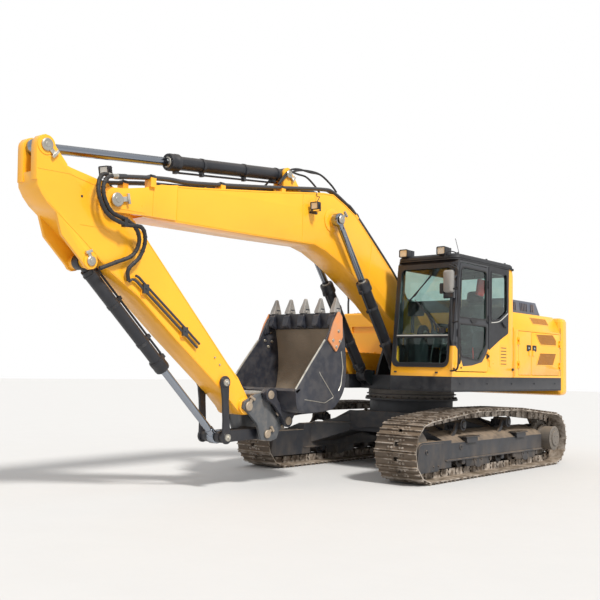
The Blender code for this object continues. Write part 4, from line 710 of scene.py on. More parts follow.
def centre_details():
    """Bolt rows round the slew ring, the arched front and rear plates of the centre frame, and its covers."""
    made = Shape()
    made.bolt_circle("Z", (0, 0), 0.665, 36, 1.005, 0.014)
    made.ring("Z", (0, 0), 0.60, 0.69, 0.965, 0.995, 48)
    made.ring("Z", (0, 0), 0.60, 0.668, 1.045, 1.06, 48)
    for y, thick in ((-0.72, -0.02), (0.70, 0.02)):
        arch = [(-0.98, 0.62), (-0.60, 0.80), (0.60, 0.80), (0.98, 0.62), (0.98, 0.36), (0.80, 0.40),
                (0.55, 0.52), (0.25, 0.57), (-0.25, 0.57), (-0.55, 0.52), (-0.80, 0.40), (-0.98, 0.36)]
        made.slab("Y", arch, *sorted((y, y + thick)))
    for x_side in (-1, 1):
        for y_side in (-1, 1):
            made.slab("Z", [(x_side * 0.55, y_side * 0.72), (x_side * 0.99, y_side * 1.14),
                            (x_side * 0.99, y_side * 1.10), (x_side * 0.60, y_side * 0.70)], 0.60, 0.625)
    cover = frame_of(-0.30, 0.30, -0.25, 0.25, 0.05)
    made.slab("Z", cover, 0.488, 0.502)
    for x in (-0.25, 0.25):
        for y in (-0.2, 0.2):
            made.bolt((x, y, 0.489), (0, 0, -1), 0.012)
    made.put("centre_frame_details", "undercarriage", FRAME, bevel=0.003, segments=1)


for name, side in (("left_track", 1), ("right_track", -1)):
    track(name, side)
    frame_trim(side)
    drive_end(side)
centre_details()


# ---------------------------------------------------------------- cab
LEFT_X, CAB_INNER, CAB_FLOOR, SEAT_X = 1.37, 0.42, 1.381, 0.895
SCREEN_FOOT, SCREEN_LEAN = -1.18 - 1.33 * 0.16 / 1.53, 0.16 / 1.53
LEANED = Matrix(((1, 0, 0, 0), (0, 1, SCREEN_LEAN, SCREEN_FOOT), (0, 0, 1, 0), (0, 0, 0, 1)))


def hit(outline, centre, angle):
    """Where a ray from the centre meets a closed outline."""
    way = Vector((cos(angle), sin(angle)))
    best = None
    for a, b in zip(outline, [*outline[1:], outline[0]]):
        a, edge = Vector(a) - centre, Vector(b) - Vector(a)
        across = way.x * edge.y - way.y * edge.x
        if abs(across) < 1e-12:
            continue
        far = (a.x * edge.y - a.y * edge.x) / across
        share = (a.x * way.y - a.y * way.x) / across
        if far > 0 and -1e-6 <= share <= 1 + 1e-6 and (best is None or far < best):
            best = far
    return tuple(centre + way * best)


def matched(outer, inner):
    """Both outlines with their points on the same rays, so that a hoop can join them."""
    centre = Vector(((min(p[0] for p in inner) + max(p[0] for p in inner)) / 2,
                     (min(p[1] for p in inner) + max(p[1] for p in inner)) / 2))
    angles = []
    for a, b in [*outer, *inner]:
        angle = round(atan2(b - centre.y, a - centre.x), 4)
        if angle not in angles:
            angles.append(angle)
    angles.sort()
    return [hit(outer, centre, a) for a in angles], [hit(inner, centre, a) for a in angles]


def plate_with_hole(shape, axis, outer, inner, low, high):
    shape.hoop(axis, *matched(outer, inner), low, high)


UPPER_DOOR_GLASS = rounded([(-0.985, 2.125, 0.03), (-0.235, 2.125, 0.03), (-0.235, 2.80, 0.05),
                            (-0.925, 2.80, 0.07)])
LOWER_DOOR_GLASS = rounded([(-0.925, 1.60, 0.07), (-0.44, 1.555, 0.10), (-0.25, 1.75, 0.10),
                            (-0.235, 2.035, 0.03), (-0.985, 2.035, 0.03)])
QUARTER_GLASS = rounded([(-0.095, 2.13, 0.04), (0.16, 2.155, 0.10), (0.39, 2.27, 0.05), (0.375, 2.82, 0.05),
                         (-0.095, 2.82, 0.04)])


def door_skin():
    """The door: a pressed skin with two rounded panes, its seals, its handle and its hinges."""
    skin = Shape()
    upper = [(-1.086, 2.08), (-0.194, 2.08), (-0.194, 2.856), (-0.962, 2.856)]
    lower = rounded([(-1.086, 2.08, 0), (-1.086, 1.405, 0.04), (-0.194, 1.405, 0.04), (-0.194, 2.08, 0)])
    for outline, pane in ((upper, UPPER_DOOR_GLASS), (lower, LOWER_DOOR_GLASS)):
        plate_with_hole(skin, "X", outline, pane, LEFT_X - 0.032, LEFT_X + 0.004)
    skin.put("door_skin", "cab_door", CAB, bevel=0.004, replaces=["cab_door"])
    seals = Shape()
    for glass in (UPPER_DOOR_GLASS, LOWER_DOOR_GLASS):
        seals.hoop("X", shrunk(glass, -0.014), shrunk(glass, 0.008), LEFT_X + 0.001, LEFT_X + 0.010)
    seals.hoop("X", shrunk(rounded([(-1.07, 1.42, 0.05), (-0.21, 1.42, 0.05), (-0.21, 2.84, 0.04),
                                    (-0.95, 2.84, 0.06)]), -0.008), rounded([(-1.07, 1.42, 0.05),
                                                                             (-0.21, 1.42, 0.05),
                                                                             (-0.21, 2.84, 0.04),
                                                                             (-0.95, 2.84, 0.06)]),
               LEFT_X - 0.045, LEFT_X - 0.025)
    for z in (1.62, 2.13, 2.62):
        seals.box((LEFT_X - 0.002, LEFT_X + 0.012), (-0.235, -0.19), (z - 0.035, z + 0.035))
        seals.rod((LEFT_X + 0.016, -0.187, z - 0.04), (LEFT_X + 0.016, -0.187, z + 0.04), 0.012)
    seals.box((LEFT_X + 0.002, LEFT_X + 0.016), (-1.045, -0.985), (1.86, 1.96))
    seals.curve([(LEFT_X + 0.012, -1.03, 1.50), (LEFT_X + 0.044, -1.03, 1.53), (LEFT_X + 0.046, -1.03, 1.74),
                 (LEFT_X + 0.012, -1.03, 1.78)], 5, 0.011)
    seals.rod((LEFT_X - 0.03, -0.60, 2.085), (LEFT_X + 0.004, -0.60, 2.085), 0.012)
    seals.slab("X", [(-0.70, 2.105), (-0.50, 2.105), (-0.56, 2.055), (-0.64, 2.055)], LEFT_X + 0.002,
               LEFT_X + 0.014)
    seals.put("door_seals", "cab_door", RUBBER, bevel=0.002, segments=1)
    panes = Shape()
    for glass in (UPPER_DOOR_GLASS, LOWER_DOOR_GLASS):
        panes.slab("X", shrunk(glass, -0.008), LEFT_X - 0.016, LEFT_X - 0.010)
    panes.put("door_panes", "cab_door", GLASS, replaces=["cab_door_glass"])


def cab_outside():
    """Window seals, the black rear-quarter panel, trims, vents, roof cap, lamps, mirror, rail and wiper."""
    dark = Shape()
    screen = rounded([(0.425, 1.445, 0.10), (1.325, 1.445, 0.10), (1.325, 2.86, 0.08), (0.425, 2.86, 0.08)],
                     6)
    opening = frame_of(0.49, 1.30, 1.505, 2.795, 0.07, 6)
    front = Shape()
    front.hoop("Y", shrunk(screen, 0.004), opening, -0.016, 0.002)
    front.hoop("Y", shrunk(opening, -0.012), shrunk(opening, 0.006), -0.024, 0.0)
    front.box((0.492, 1.298), (-0.022, 0.006), (1.846, 1.868))
    dark.copy(front, LEANED)
    plate_with_hole(dark, "X", rounded([(-0.165, 1.70, 0.02), (0.19, 1.87, 0.02), (0.43, 1.965, 0.04),
                                        (0.445, 2.45, 0.05), (0.41, 2.885, 0.05), (-0.165, 2.885, 0.02)]),
                    QUARTER_GLASS, LEFT_X - 0.012, LEFT_X + 0.005)
    dark.hoop("X", shrunk(QUARTER_GLASS, -0.012), shrunk(QUARTER_GLASS, 0.008), LEFT_X + 0.003,
              LEFT_X + 0.011)
    dark.lathe("X", (0.30, 2.075), [(LEFT_X + 0.004, 0.036), (LEFT_X + 0.016, 0.034), (LEFT_X + 0.02, 0.028)],
               20)
    dark.slab("X", rounded([(0.22, 2.13, 0.012), (0.21, 2.10, 0.012), (0.33, 2.035, 0.012),
                            (0.36, 2.05, 0.012)], 3), LEFT_X + 0.016, LEFT_X + 0.030)
    roof = rounded([(CAB_INNER - 0.012, -1.04, 0.10), (LEFT_X + 0.014, -1.04, 0.12),
                    (LEFT_X + 0.014, 0.585, 0.07), (CAB_INNER - 0.012, 0.585, 0.07)], 6)
    dark.stepped("Z", roof, ((2.905, 0.012), (2.925, 0.0), (2.955, 0.004), (2.978, 0.03), (2.988, 0.07)))
    dark.hoop("Z", shrunk(roof, -0.004), shrunk(roof, 0.02), 2.898, 2.912)
    for y in (-0.42, 0.05):
        dark.box((0.60, 1.20), (y - 0.11, y + 0.11), (2.985, 3.0))
    for x in (0.535, 1.135):
        dark.box((x - 0.015, x + 0.015), (-0.99, -0.95), (2.97, 3.0))
        housing = frame_of(x - 0.068, x + 0.068, 2.965, 3.078, 0.02, 4)
        dark.stepped("Y", housing, ((-1.065, 0.0), (-0.96, 0.004), (-0.915, 0.02)))
        dark.hoop("Y", housing, shrunk(housing, 0.012), -1.078, -1.06)
    mast = [(1.34, -1.19, 2.80), (1.476, -1.22, 2.735), (1.486, -1.22, 2.66), (1.484, -1.22, 2.50),
            (1.44, -1.22, 2.478), (1.31, -1.21, 2.50)]
    dark.curve(mast, 5, 0.011)
    dark.curve([(1.345, -1.09, 2.78), (1.40, -1.15, 2.80), (1.46, -1.20, 2.765), (1.484, -1.22, 2.70)], 5,
               0.011)
    dark.curve([(1.486, -1.22, 2.50), (1.487, -1.205, 2.10), (1.487, -1.20, 1.70), (1.484, -1.20, 1.50),
                (1.45, -1.19, 1.425), (1.345, -1.16, 1.405)], 6, 0.013)
    for z in (2.05, 2.50):
        dark.tube([(1.486, -1.21, z), (1.345, -1.12, z - 0.01)], 0.009)
    mirror = rounded([(1.275, 2.43, 0.035), (1.415, 2.43, 0.035), (1.42, 2.73, 0.035), (1.27, 2.73, 0.035)],
                     5)
    housing = Shape()
    housing.stepped("Y", mirror, ((-1.262, 0.03), (-1.248, 0.008), (-1.225, 0.0), (-1.195, 0.0)))
    housing.put("mirror_housing", "upperstructure", HOUSING, bevel=0.003, segments=2)
    dark.stepped("Y", frame_of(1.21, 1.27, 2.42, 2.56, 0.02), ((-1.235, 0.012), (-1.225, 0.0), (-1.20, 0.0)))
    for x in (0.497, 1.146):
        dark.rings([[(x + a, -1.178 + b, z) for a, b in circle((0, 0), 0.02, 10)] for z in (1.372, 1.392)])
    for y, z in ((0.545, 2.905), (0.56, 1.445)):
        dark.rod((LEFT_X - 0.004, y, z), (LEFT_X + 0.024, y, z), 0.018, 14)
    for y, z in ((-0.934, 1.451), (-1.12, 1.437)):
        dark.bolt((LEFT_X + 0.003, y, z), (1, 0, 0), 0.011)
    for k in range(6):
        z = 1.515 + k * 0.046
        dark.slab("X", frame_of(0.205, 0.375, z, z + 0.011, 0.004, 2), LEFT_X - 0.002, LEFT_X + 0.0015)
    dark.curve([(1.20, -1.085, 2.925), (1.235, -1.09, 2.985), (1.29, -1.06, 3.0), (1.33, -1.0, 2.985)], 5,
               0.008)
    dark.rod((1.335, -0.93, 2.955), (1.31, -0.93, 3.0), 0.014)
    dark.rod((1.33, -0.93, 2.99), (1.275, -0.93, 3.19), 0.004, 8)
    for y in (-0.12, 0.44):
        dark.rod((1.31, y, 2.97), (1.31, y, 3.0), 0.014)
    dark.put("cab_seals_and_fittings", "upperstructure", TRIM, bevel=0.002, segments=1)

    wiper = Shape()
    wiper.box((1.17, 1.255), (-0.055, -0.01), (1.90, 1.975))
    wiper.tube([(1.205, -0.055, 1.94), (1.02, -0.05, 2.115), (0.76, -0.045, 2.365)], [0.010, 0.008, 0.006], 8)
    wiper.tube([(0.655, -0.038, 2.36), (0.76, -0.04, 2.42), (0.86, -0.045, 2.55), (0.985, -0.038, 2.70)],
               0.006, 8)
    wiper.slab("Y", [(0.655, 2.352), (0.665, 2.345), (0.995, 2.692), (0.985, 2.70)], -0.038, -0.018)
    wiper.placed(LEANED).put("wiper", "upperstructure", TRIM, bevel=0.001, segments=1)

    bright = Shape()
    bar = Shape()
    bar.box((0.492, 1.298), (-0.026, -0.02), (1.869, 1.886))
    bright.copy(bar, LEANED)
    bright.curve([(LEFT_X + 0.009, -0.10, 2.095), (LEFT_X + 0.009, 0.02, 2.105),
                  (LEFT_X + 0.009, 0.17, 2.135), (LEFT_X + 0.009, 0.405, 2.252)], 5, 0.007, 8)
    bright.lathe("X", (0.30, 2.075), [(LEFT_X + 0.019, 0.013), (LEFT_X + 0.023, 0.012)], 12)
    for x in (0.535, 1.135):
        lens = frame_of(x - 0.056, x + 0.056, 2.977, 3.066, 0.012, 3)
        bright.slab("Y", lens, -1.072, -1.062)
    bright.stepped("Y", mirror, ((-1.196, 0.012), (-1.190, 0.012)))
    bright.put("cab_bright_parts", "upperstructure", LENS, bevel=0.001, segments=1)

    pane = Shape()
    pane.slab("X", shrunk(QUARTER_GLASS, -0.008), LEFT_X - 0.016, LEFT_X - 0.011)
    pane.put("quarter_pane", "upperstructure", GLASS, replaces=["left_rear_window"])

    yellow = Shape()
    yellow.slab("X", frame_of(-0.145, -0.085, 1.475, 1.65, 0.012, 3), LEFT_X - 0.002, LEFT_X + 0.009)
    yellow.slab("X", frame_of(0.165, 0.40, 1.485, 1.795, 0.02), LEFT_X - 0.003, LEFT_X + 0.0005)
    yellow.put("cab_pressings", "upperstructure", YELLOW, bevel=0.003)


def padded_block(name, low, high, crown, body):
    """A cushion: a rounded, crowned block on a grid, fuller in the middle and pinched to its seams."""
    made = Shape()
    size = [(b - a) / 2 for a, b in zip(low, high)]
    middle = [(b + a) / 2 for a, b in zip(low, high)]
    rings = []
    count, around = 14, 40
    for i in range(count + 1):
        lift = -1 + 2 * i / count
        shrink = (1 - abs(lift) ** 4) ** 0.25 if abs(lift) < 1 else 0.0
        shrink = max(shrink, 0.05)
        ring = []
        for k in range(around):
            angle = 2 * pi * k / around
            c, s = cos(angle), sin(angle)
            reach = (abs(c) ** 5 + abs(s) ** 5) ** -0.2
            a, b = c * reach * shrink, s * reach * shrink
            ring.append((a, b, lift))
        rings.append(ring)
    placed = []
    for ring in rings:
        out = []
        for a, b, lift in ring:
            puff = crown * (1 - a * a) * (1 - b * b) * max(lift, 0)
            seam = 0.05 * max(0.0, 1 - abs(abs(a) - 0.62) / 0.05) * max(0.0, lift)
            axes = [a, b, lift + puff / max(size[2], 1e-6) - seam]
            out.append(tuple(m + s * v for m, s, v in zip(middle, size, axes)))
        placed.append(out)
    made.rings(placed)
    item = made.put(name, body, FABRIC, angle=60, ride=False)
    return item


def seat():
    """The padded seat on its base, with consoles, levers, pedals, a screen, a red lever and a pouch."""
    floor, x = CAB_FLOOR, SEAT_X
    pads = []
    specs = (("seat_cushion", (x - 0.25, -0.35, floor + 0.30), (x + 0.25, 0.18, floor + 0.43), 0.025, 0.0,
              None), ("seat_back", (-0.235, 0.0, -0.055), (0.235, 0.58, 0.055), 0.03, radians(80),
                      (x, 0.185, floor + 0.43)), ("seat_head_rest", (-0.13, 0.0, -0.04), (0.13, 0.17, 0.04),
                                                  0.02, radians(80), (x, 0.30, floor + 1.04)))
    for name, low, high, crown, tilt, foot in specs:
        item = padded_block(name, low, high, crown, "upperstructure")
        if foot:
            turn = Matrix.Translation(Vector(foot)) @ Matrix.Rotation(tilt, 4, "X")
            item.data.transform(Matrix.Translation(AXIS) @ turn @ Matrix.Translation(-AXIS))
        pads.append(item)
    for item in pads:
        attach(item, "upperstructure")
    base = Shape()
    base.box((x - 0.20, x + 0.20), (-0.22, 0.16), (floor + 0.001, floor + 0.10))
    for k in range(5):
        base.hoop("Z", frame_of(x - 0.185, x + 0.185, -0.21, 0.15, 0.03),
                  frame_of(x - 0.14, x + 0.14, -0.165, 0.105, 0.02), floor + 0.10 + k * 0.034,
                  floor + 0.125 + k * 0.034)
    base.box((x - 0.23, x + 0.23), (-0.31, 0.19), (floor + 0.265, floor + 0.31))
    for side in (-1, 1):
        outline = rounded([(-0.42, floor + 0.36, 0.03), (0.20, floor + 0.36, 0.03),
                           (0.20, floor + 0.60, 0.04), (-0.30, floor + 0.585, 0.06),
                           (-0.42, floor + 0.52, 0.04)])
        base.side_slab(side, outline, 0.262, 0.36, x)
        base.side_slab(side, frame_of(-0.24, 0.14, floor + 0.66, floor + 0.71, 0.02), 0.275, 0.345, x)
        base.rod((x + side * 0.31, 0.10, floor + 0.55), (x + side * 0.31, 0.10, floor + 0.67), 0.02)
        base.tube([(x + side * 0.31, -0.35, floor + 0.56), (x + side * 0.31, -0.37, floor + 0.66),
                   (x + side * 0.315, -0.375, floor + 0.72), (x + side * 0.315, -0.38, floor + 0.80)],
                  [0.03, 0.012, 0.022, 0.024])
        base.rod((x + side * 0.09, 0.28, floor + 0.98), (x + side * 0.09, 0.30, floor + 1.08), 0.008)
    for side in (-1, 1):
        base.tube([(x + side * 0.07, -0.82, floor + 0.02), (x + side * 0.07, -0.78, floor + 0.25),
                   (x + side * 0.07, -0.70, floor + 0.52), (x + side * 0.07, -0.69, floor + 0.58)],
                  [0.012, 0.012, 0.012, 0.018])
        base.slab("X", rounded([(-0.95, floor + 0.06, 0.01), (-0.74, floor + 0.02, 0.01),
                                (-0.74, floor + 0.035, 0.005), (-0.95, floor + 0.078, 0.008)], 2),
                  x + side * 0.09 - 0.055, x + side * 0.09 + 0.055)
    base.slab("Z", frame_of(CAB_INNER + 0.055, LEFT_X - 0.055, -1.08, 0.52, 0.03), floor - 0.003,
              floor + 0.012)
    post, y = x - 0.37, -0.80
    base.box((post - 0.02, post + 0.02), (y - 0.015, y + 0.015), (floor + 0.55, floor + 0.80))
    base.slab("Y", frame_of(0.46, 0.70, floor + 0.78, floor + 0.98, 0.02), y - 0.02, y + 0.02)
    base.slab("X", rounded([(-0.95, 1.42, 0.05), (-0.50, 1.42, 0.03), (-0.40, 1.75, 0.08),
                            (-0.60, 1.90, 0.08), (-0.93, 1.88, 0.06)]), CAB_INNER + 0.052, CAB_INNER + 0.13)
    base.box((0.50, 1.29), (0.36, 0.52), (floor, floor + 0.62))
    base.put("seat_frame_and_consoles", "upperstructure", TRIM, bevel=0.004, replaces=["operator_seat"])
    red = Shape()
    red.tube([(1.20, -0.30, 1.50), (1.205, -0.305, 1.62), (1.21, -0.33, 1.75), (1.20, -0.31, 1.86)],
             [0.011, 0.010, 0.009, 0.009])
    red.tube([(1.20, -0.315, 1.84), (1.20, -0.31, 1.87), (1.20, -0.305, 1.89)], [0.012, 0.024, 0.014], 14)
    red.slab("X", rounded([(-0.06, 2.50, 0.02), (0.12, 2.49, 0.03), (0.20, 2.60, 0.04), (0.19, 2.73, 0.02),
                           (0.0, 2.74, 0.02)]), 1.10, 1.13)
    red.put("red_lever_and_pouch", "upperstructure", RED, bevel=0.006)


door_skin()
cab_outside()
seat()


# ---------------------------------------------------------------- house
def chords(outline, step):
    """(z, low y, high y) of level lines across an outline, a step apart."""
    low, high = min(p[1] for p in outline), max(p[1] for p in outline)
    z, found = low + step, []
    while z < high - step / 2:
        cuts = []
        for a, b in zip(outline, [*outline[1:], outline[0]]):
            if (a[1] - z) * (b[1] - z) < 0:
                cuts.append(a[0] + (b[0] - a[0]) * (z - a[1]) / (b[1] - a[1]))
        if len(cuts) >= 2:
            found.append((z, min(cuts), max(cuts)))
        z += step
    return found


SLAT_PITCH, MESH_PITCH = 0.0125, 0.03


def grille(shape, outline, surface):
    """A pressed frame (paint 0) round a flat sheet of painted shade in the opening (paint 1), with slats (paint
    2) that lean outwards.
    """
    shape.paint = 0
    shape.hoop("X", shrunk(outline, -0.012), outline, surface - 0.001, surface + 0.004)
    # Paint 1: a flat sheet of painted shade behind the slats.
    shape.paint = 1
    shape.slab("X", outline, surface - 0.001, surface + 0.0008)
    shape.paint = 2
    for z, low, high in chords(outline, SLAT_PITCH):
        shape.rings([[(surface + 0.0005, y, z - 0.004), (surface + 0.0005, y, z + 0.001),
                      (surface + 0.0035, y, z + 0.004), (surface + 0.0035, y, z)]
                     for y in (low + 0.001, high - 0.001)])
    y = min(p[0] for p in outline)
    while y < max(p[0] for p in outline):
        y += MESH_PITCH
        for z, low, high in chords(outline, SLAT_PITCH):
            if low < y < high:
                shape.box((surface + 0.0005, surface + 0.003), (y - 0.0015, y + 0.0015),
                          (z - 0.006, z + 0.0065))
    shape.paint = 0


def latch(shape, y, z):
    """A sunk paddle latch (paint 0) with its lock (paint 1)."""
    shape.paint = 0
    shape.hoop("X", frame_of(y - 0.062, y + 0.062, z - 0.045, z + 0.045, 0.01),
               frame_of(y - 0.05, y + 0.05, z - 0.033, z + 0.033, 0.008), LEFT_X - 0.002, LEFT_X + 0.010)
    shape.slab("X", frame_of(y - 0.055, y + 0.055, z - 0.038, z + 0.038, 0.008), LEFT_X - 0.002,
               LEFT_X + 0.004)
    shape.paint = 1
    shape.lathe("X", (y + 0.005, z), [(LEFT_X + 0.003, 0.016), (LEFT_X + 0.011, 0.013)], 14)
    shape.paint = 0


def house_sides():
    """Grilles and latches on the doors, panel seams, and the counterweight's lifting eyes."""
    openings = Shape()
    for outline in ([(1.375, 1.99), (1.46, 1.895), (1.53, 1.845), (2.09, 1.848), (2.09, 1.92),
                     (1.965, 2.005)], [(1.39, 1.53), (1.975, 1.532), (2.09, 1.71), (1.505, 1.705)]):
        grille(openings, outline[::-1], LEFT_X)
    openings.put("left_door_grilles", "left_rear_side_door", [YELLOW, GRILLE_PAINTED_SHADE, GRILLE])
    sloped = Shape()
    grille(sloped, [(1.38, 0.125), (1.95, 0.125), (1.95, 0.235), (1.38, 0.235)], 0.0)
    slope = Vector((-0.15, 0, 0.26)).normalized()
    turn = Matrix((Vector((slope.z, 0, -slope.x)), Vector((0, 1, 0)), slope)).transposed().to_4x4()
    sloped.placed(Matrix.Translation((LEFT_X, 0, 2.05)) @ turn).put("shoulder_grille", "upperstructure",
                                                                    [YELLOW, GRILLE_PAINTED_SHADE, GRILLE])
    right = Shape()
    grille(right, [(1.48, 1.50), (2.10, 1.50), (2.10, 1.90), (1.48, 1.90)], 1.36)
    right.placed(MIRROR_X).put("right_door_grille", "right_side_door", [YELLOW, GRILLE_PAINTED_SHADE, GRILLE])
    for name, body, y in (("front_latch", "left_front_side_door", 1.105),
                          ("rear_latch", "left_rear_side_door", 1.30)):
        lock = Shape()
        latch(lock, y, 1.775)
        lock.put(name, body, [TRIM, LENS], bevel=0.002, segments=1)
    lock = Shape()
    latch(lock, 1.50, 1.62)
    lock.placed(MIRROR_X @ Matrix.Translation((-0.01, 0, 0))).put("right_latch", "right_side_door",
                                                                  [TRIM, LENS], bevel=0.002, segments=1)
    seams = Shape()
    seams.box((LEFT_X - 0.004, LEFT_X + 0.0012), (2.262, 2.272), (1.36, 2.13))
    seams.box((LEFT_X - 0.004, LEFT_X + 0.0012), (0.644, 0.652), (1.345, 2.02))
    seams.put("panel_seams", "upperstructure", TRIM)
    weight = Shape()
    for x in (-0.75, 0.75):
        weight.ring("Y", (x, 2.345), 0.028, 0.055, 2.60, 2.64, 24)
        weight.slab("Y", [(x - 0.09, 2.29), (x + 0.09, 2.29), (x + 0.05, 2.315), (x - 0.05, 2.315)], 2.59,
                    2.65)
    weight.put("lifting_eyes", "upperstructure", YELLOW, bevel=0.004)


def hood_louvres():
    """Raised, slanted louvres on the hood's sides and top, each with a thin sheet of painted shade in its mouth.
    """
    made = Shape()
    groups = ((0.86, 5, 0.030), (1.24, 5, 0.030), (1.60, 2, 0.045))
    for face, sign in ((1.17, 1), (-0.38, -1)):
        for start, count, wide in groups:
            for k in range(count):
                y = start + k * (wide + 0.024)
                mouth = [(y, 2.36), (y + wide, 2.36), (y + wide - 0.022, 2.475), (y - 0.022, 2.475)]
                # Paint 1: a thin sheet of painted shade in the louvre's mouth.
                made.paint = 1
                made.side_slab(sign, mouth, -0.001, 0.0012, face)
                made.paint = 0
                made.rings([[(face, p[0], p[1]), (face + sign * 0.010, p[0] - 0.003, p[1]),
                             (face + sign * 0.007, p[0] + wide * 0.45, p[1]),
                             (face, p[0] + wide * 0.35, p[1])] for p in ((mouth[0][0], 2.357),
                                                                         (mouth[3][0], 2.478))])
    for x in (-0.16, 0.10, 0.62, 0.88):
        for k in range(9):
            y = 0.80 + k * 0.095
            # Paint 1: a thin sheet of painted shade in the slot.
            made.paint = 1
            made.slab("Z", frame_of(x - 0.09, x + 0.09, y, y + 0.035, 0.01), 2.509, 2.5112)
            made.paint = 0
            made.rings([[(a, y - 0.004, 2.509), (a, y + 0.004, 2.521), (a, y + 0.020, 2.518),
                         (a, y + 0.014, 2.509)] for a in (x - 0.095, x + 0.095)])
    made.box((0.32, 0.46), (0.66, 0.70), (2.42, 2.44))
    made.put("hood_louvres", "engine_hood", [SLATE, GRILLE_PAINTED_SHADE])


def deck_details():
    """Edge lips, steps and treads, bolts, tank fittings, hand rails and the frame's front lugs."""
    made = Shape()
    x = LEFT_X - 0.004
    made.box((x, x + 0.010), (-1.16, 2.26), (1.134, 1.150))
    made.box((x, x + 0.006), (-1.16, 2.26), (1.318, 1.329))
    made.box((CAB_INNER, LEFT_X + 0.004), (-1.192, -1.180), (1.136, 1.152))
    for y in (-0.95, -0.2, 0.55, 1.3, 2.05):
        made.bolt((LEFT_X, y, 1.24), (1, 0, 0), 0.010)
    for x in (0.55, 0.9, 1.25):
        made.bolt((x, -1.183, 1.17), (0, -1, 0), 0.010)
    rail = [(-1.30, 0.12, 2.30), (-1.30, 0.12, 2.52), (-1.30, 0.20, 2.60), (-1.30, 1.10, 2.60),
            (-1.30, 1.20, 2.52), (-1.30, 1.20, 2.30)]
    made.paint = 0
    made.curve(rail, 5, 0.016)
    made.rod((-1.30, 0.65, 2.30), (-1.30, 0.65, 2.60), 0.012)
    made.curve([(-1.365, -1.0, 1.24), (-1.39, -1.02, 1.34), (-1.392, -1.03, 1.75), (-1.392, -1.0, 2.05),
                (-1.392, -0.80, 2.13), (-1.392, 0.0, 2.13), (-1.385, 0.14, 2.12), (-1.35, 0.20, 2.10)], 5,
               0.016)
    for k in range(3):
        y = 0.12 + 0.19 * k
        made.slab("Z", frame_of(-1.20, -0.62, y, y + 0.11, 0.02), 2.299, 2.306)
        for i in range(7):
            made.ring("Z", (-1.14 + i * 0.08, y + 0.055), 0.011, 0.019, 2.305, 2.313, 12)
    made.box((-0.685, -0.575), (-1.008, -0.998), (1.42, 1.60))
    made.curve([(-0.64, -1.006, 1.575), (-0.64, -1.036, 1.56), (-0.62, -1.04, 1.50), (-0.62, -1.036, 1.455),
                (-0.62, -1.006, 1.44)], 4, 0.010, 10)
    made.paint = 1
    made.lathe("Z", (-0.62, 0.40), [(2.298, 0.07), (2.315, 0.07), (2.325, 0.062), (2.345, 0.062),
                                    (2.352, 0.052)], 28)
    made.lathe("Z", (-0.95, 1.00), [(2.298, 0.09), (2.312, 0.09), (2.318, 0.07)], 28)
    made.bolt_circle("Z", (-0.95, 1.00), 0.075, 6, 2.312, 0.008)
    made.put("deck_details", "upperstructure", [TRIM, ZINC], bevel=0.0015, segments=1)
    lid = Shape()
    for k in range(3):
        y = -0.92 + 0.29 * k
        lid.slab("Z", frame_of(-1.28, -0.63, y, y + 0.23, 0.02), 1.648, 1.654)
        for i in range(7):
            for j in (0.06, 0.17):
                lid.ring("Z", (-1.22 + i * 0.088, y + j), 0.012, 0.020, 1.653, 1.660, 12)
    lid.put("tool_box_tread", "tool_box_lid", TRIM)


house_sides()
hood_louvres()
deck_details()


# ---------------------------------------------------------------- boom and arm
BOOM_HALF, ARM_HALF, EAR_OUTER, LIFT_X = 0.205, 0.16, 0.265, 0.31
BOOM_FOOT, BOOM_HEAD = pin("boom_lift"), pin("arm_swing")
LIFT_EYE, ARM_BASE, ARM_EYE = (-2.28, 3.34), (-3.03, 3.83), (-6.57, 3.44)
BUCKET_BASE, ROCKER_TIP = (-6.02, 2.40), (-4.11, 0.603)
BOOM_TOP = [(-5.80, 3.27), (-5.44, 3.325), (-5.10, 3.375), (-4.66, 3.415), (-3.51, 3.575), (-2.45, 3.735),
            (-2.20, 3.735), (-1.92, 3.63), (-1.70, 3.52), (-0.86, 2.88), (-0.52, 2.58)]


def bead(shape, points, x, size=0.005):
    """A weld bead on both side plates."""
    for side in (-1, 1):
        shape.tube([(side * x, y, z) for y, z in points], size, 6)


def clamp(shape, at, wide, tall):
    """A pad with a saddle and its bolt over a pair of lines."""
    x, y, z = at
    shape.paint = 0
    shape.box((x - wide / 2, x + wide / 2), (y - 0.035, y + 0.035), (z - tall, z - 0.012))
    shape.paint = 1
    shape.rings([[(a, yy, b) for a, b in rounded([(x - wide / 2, z - 0.016, 0.003),
                                                  (x + wide / 2, z - 0.016, 0.003),
                                                  (x + wide / 2, z + 0.02, 0.012),
                                                  (x - wide / 2, z + 0.02, 0.012)], 3)]
                 for yy in (y - 0.025, y + 0.025)])
    shape.bolt((x, y, z + 0.02), (0, 0, 1), 0.010)
    shape.paint = 0


def lamp(shape, at, way, size):
    """A square work lamp on its bracket; way is where it looks."""
    at, way = Vector(at), Vector(way).normalized()
    side = way.cross(Vector((0, 0, 1))).normalized()
    over = side.cross(way)
    turn = Matrix((side, way, over)).transposed().to_4x4()
    made = Shape()
    body = frame_of(-size, size, -size * 0.85, size * 0.85, size * 0.25)
    made.stepped("Y", body, ((-0.06, 0.025), (-0.035, 0.004), (0.03, 0.0)))
    made.hoop("Y", body, shrunk(body, 0.010), 0.028, 0.042)
    made.slab("Z", [(-size - 0.008, -0.012), (-size, -0.012), (-size, 0.012), (-size - 0.008, 0.012)],
              -size * 1.15, 0.01)
    made.slab("Z", [(size, -0.012), (size + 0.008, -0.012), (size + 0.008, 0.012), (size, 0.012)],
              -size * 1.15, 0.01)
    made.box((-size - 0.008, size + 0.008), (-0.014, 0.014), (-size * 1.25, -size * 1.12))
    made.paint = 1
    made.slab("Y", shrunk(body, 0.012), 0.024, 0.034)
    shape.copy(made, Matrix.Translation(at) @ turn)


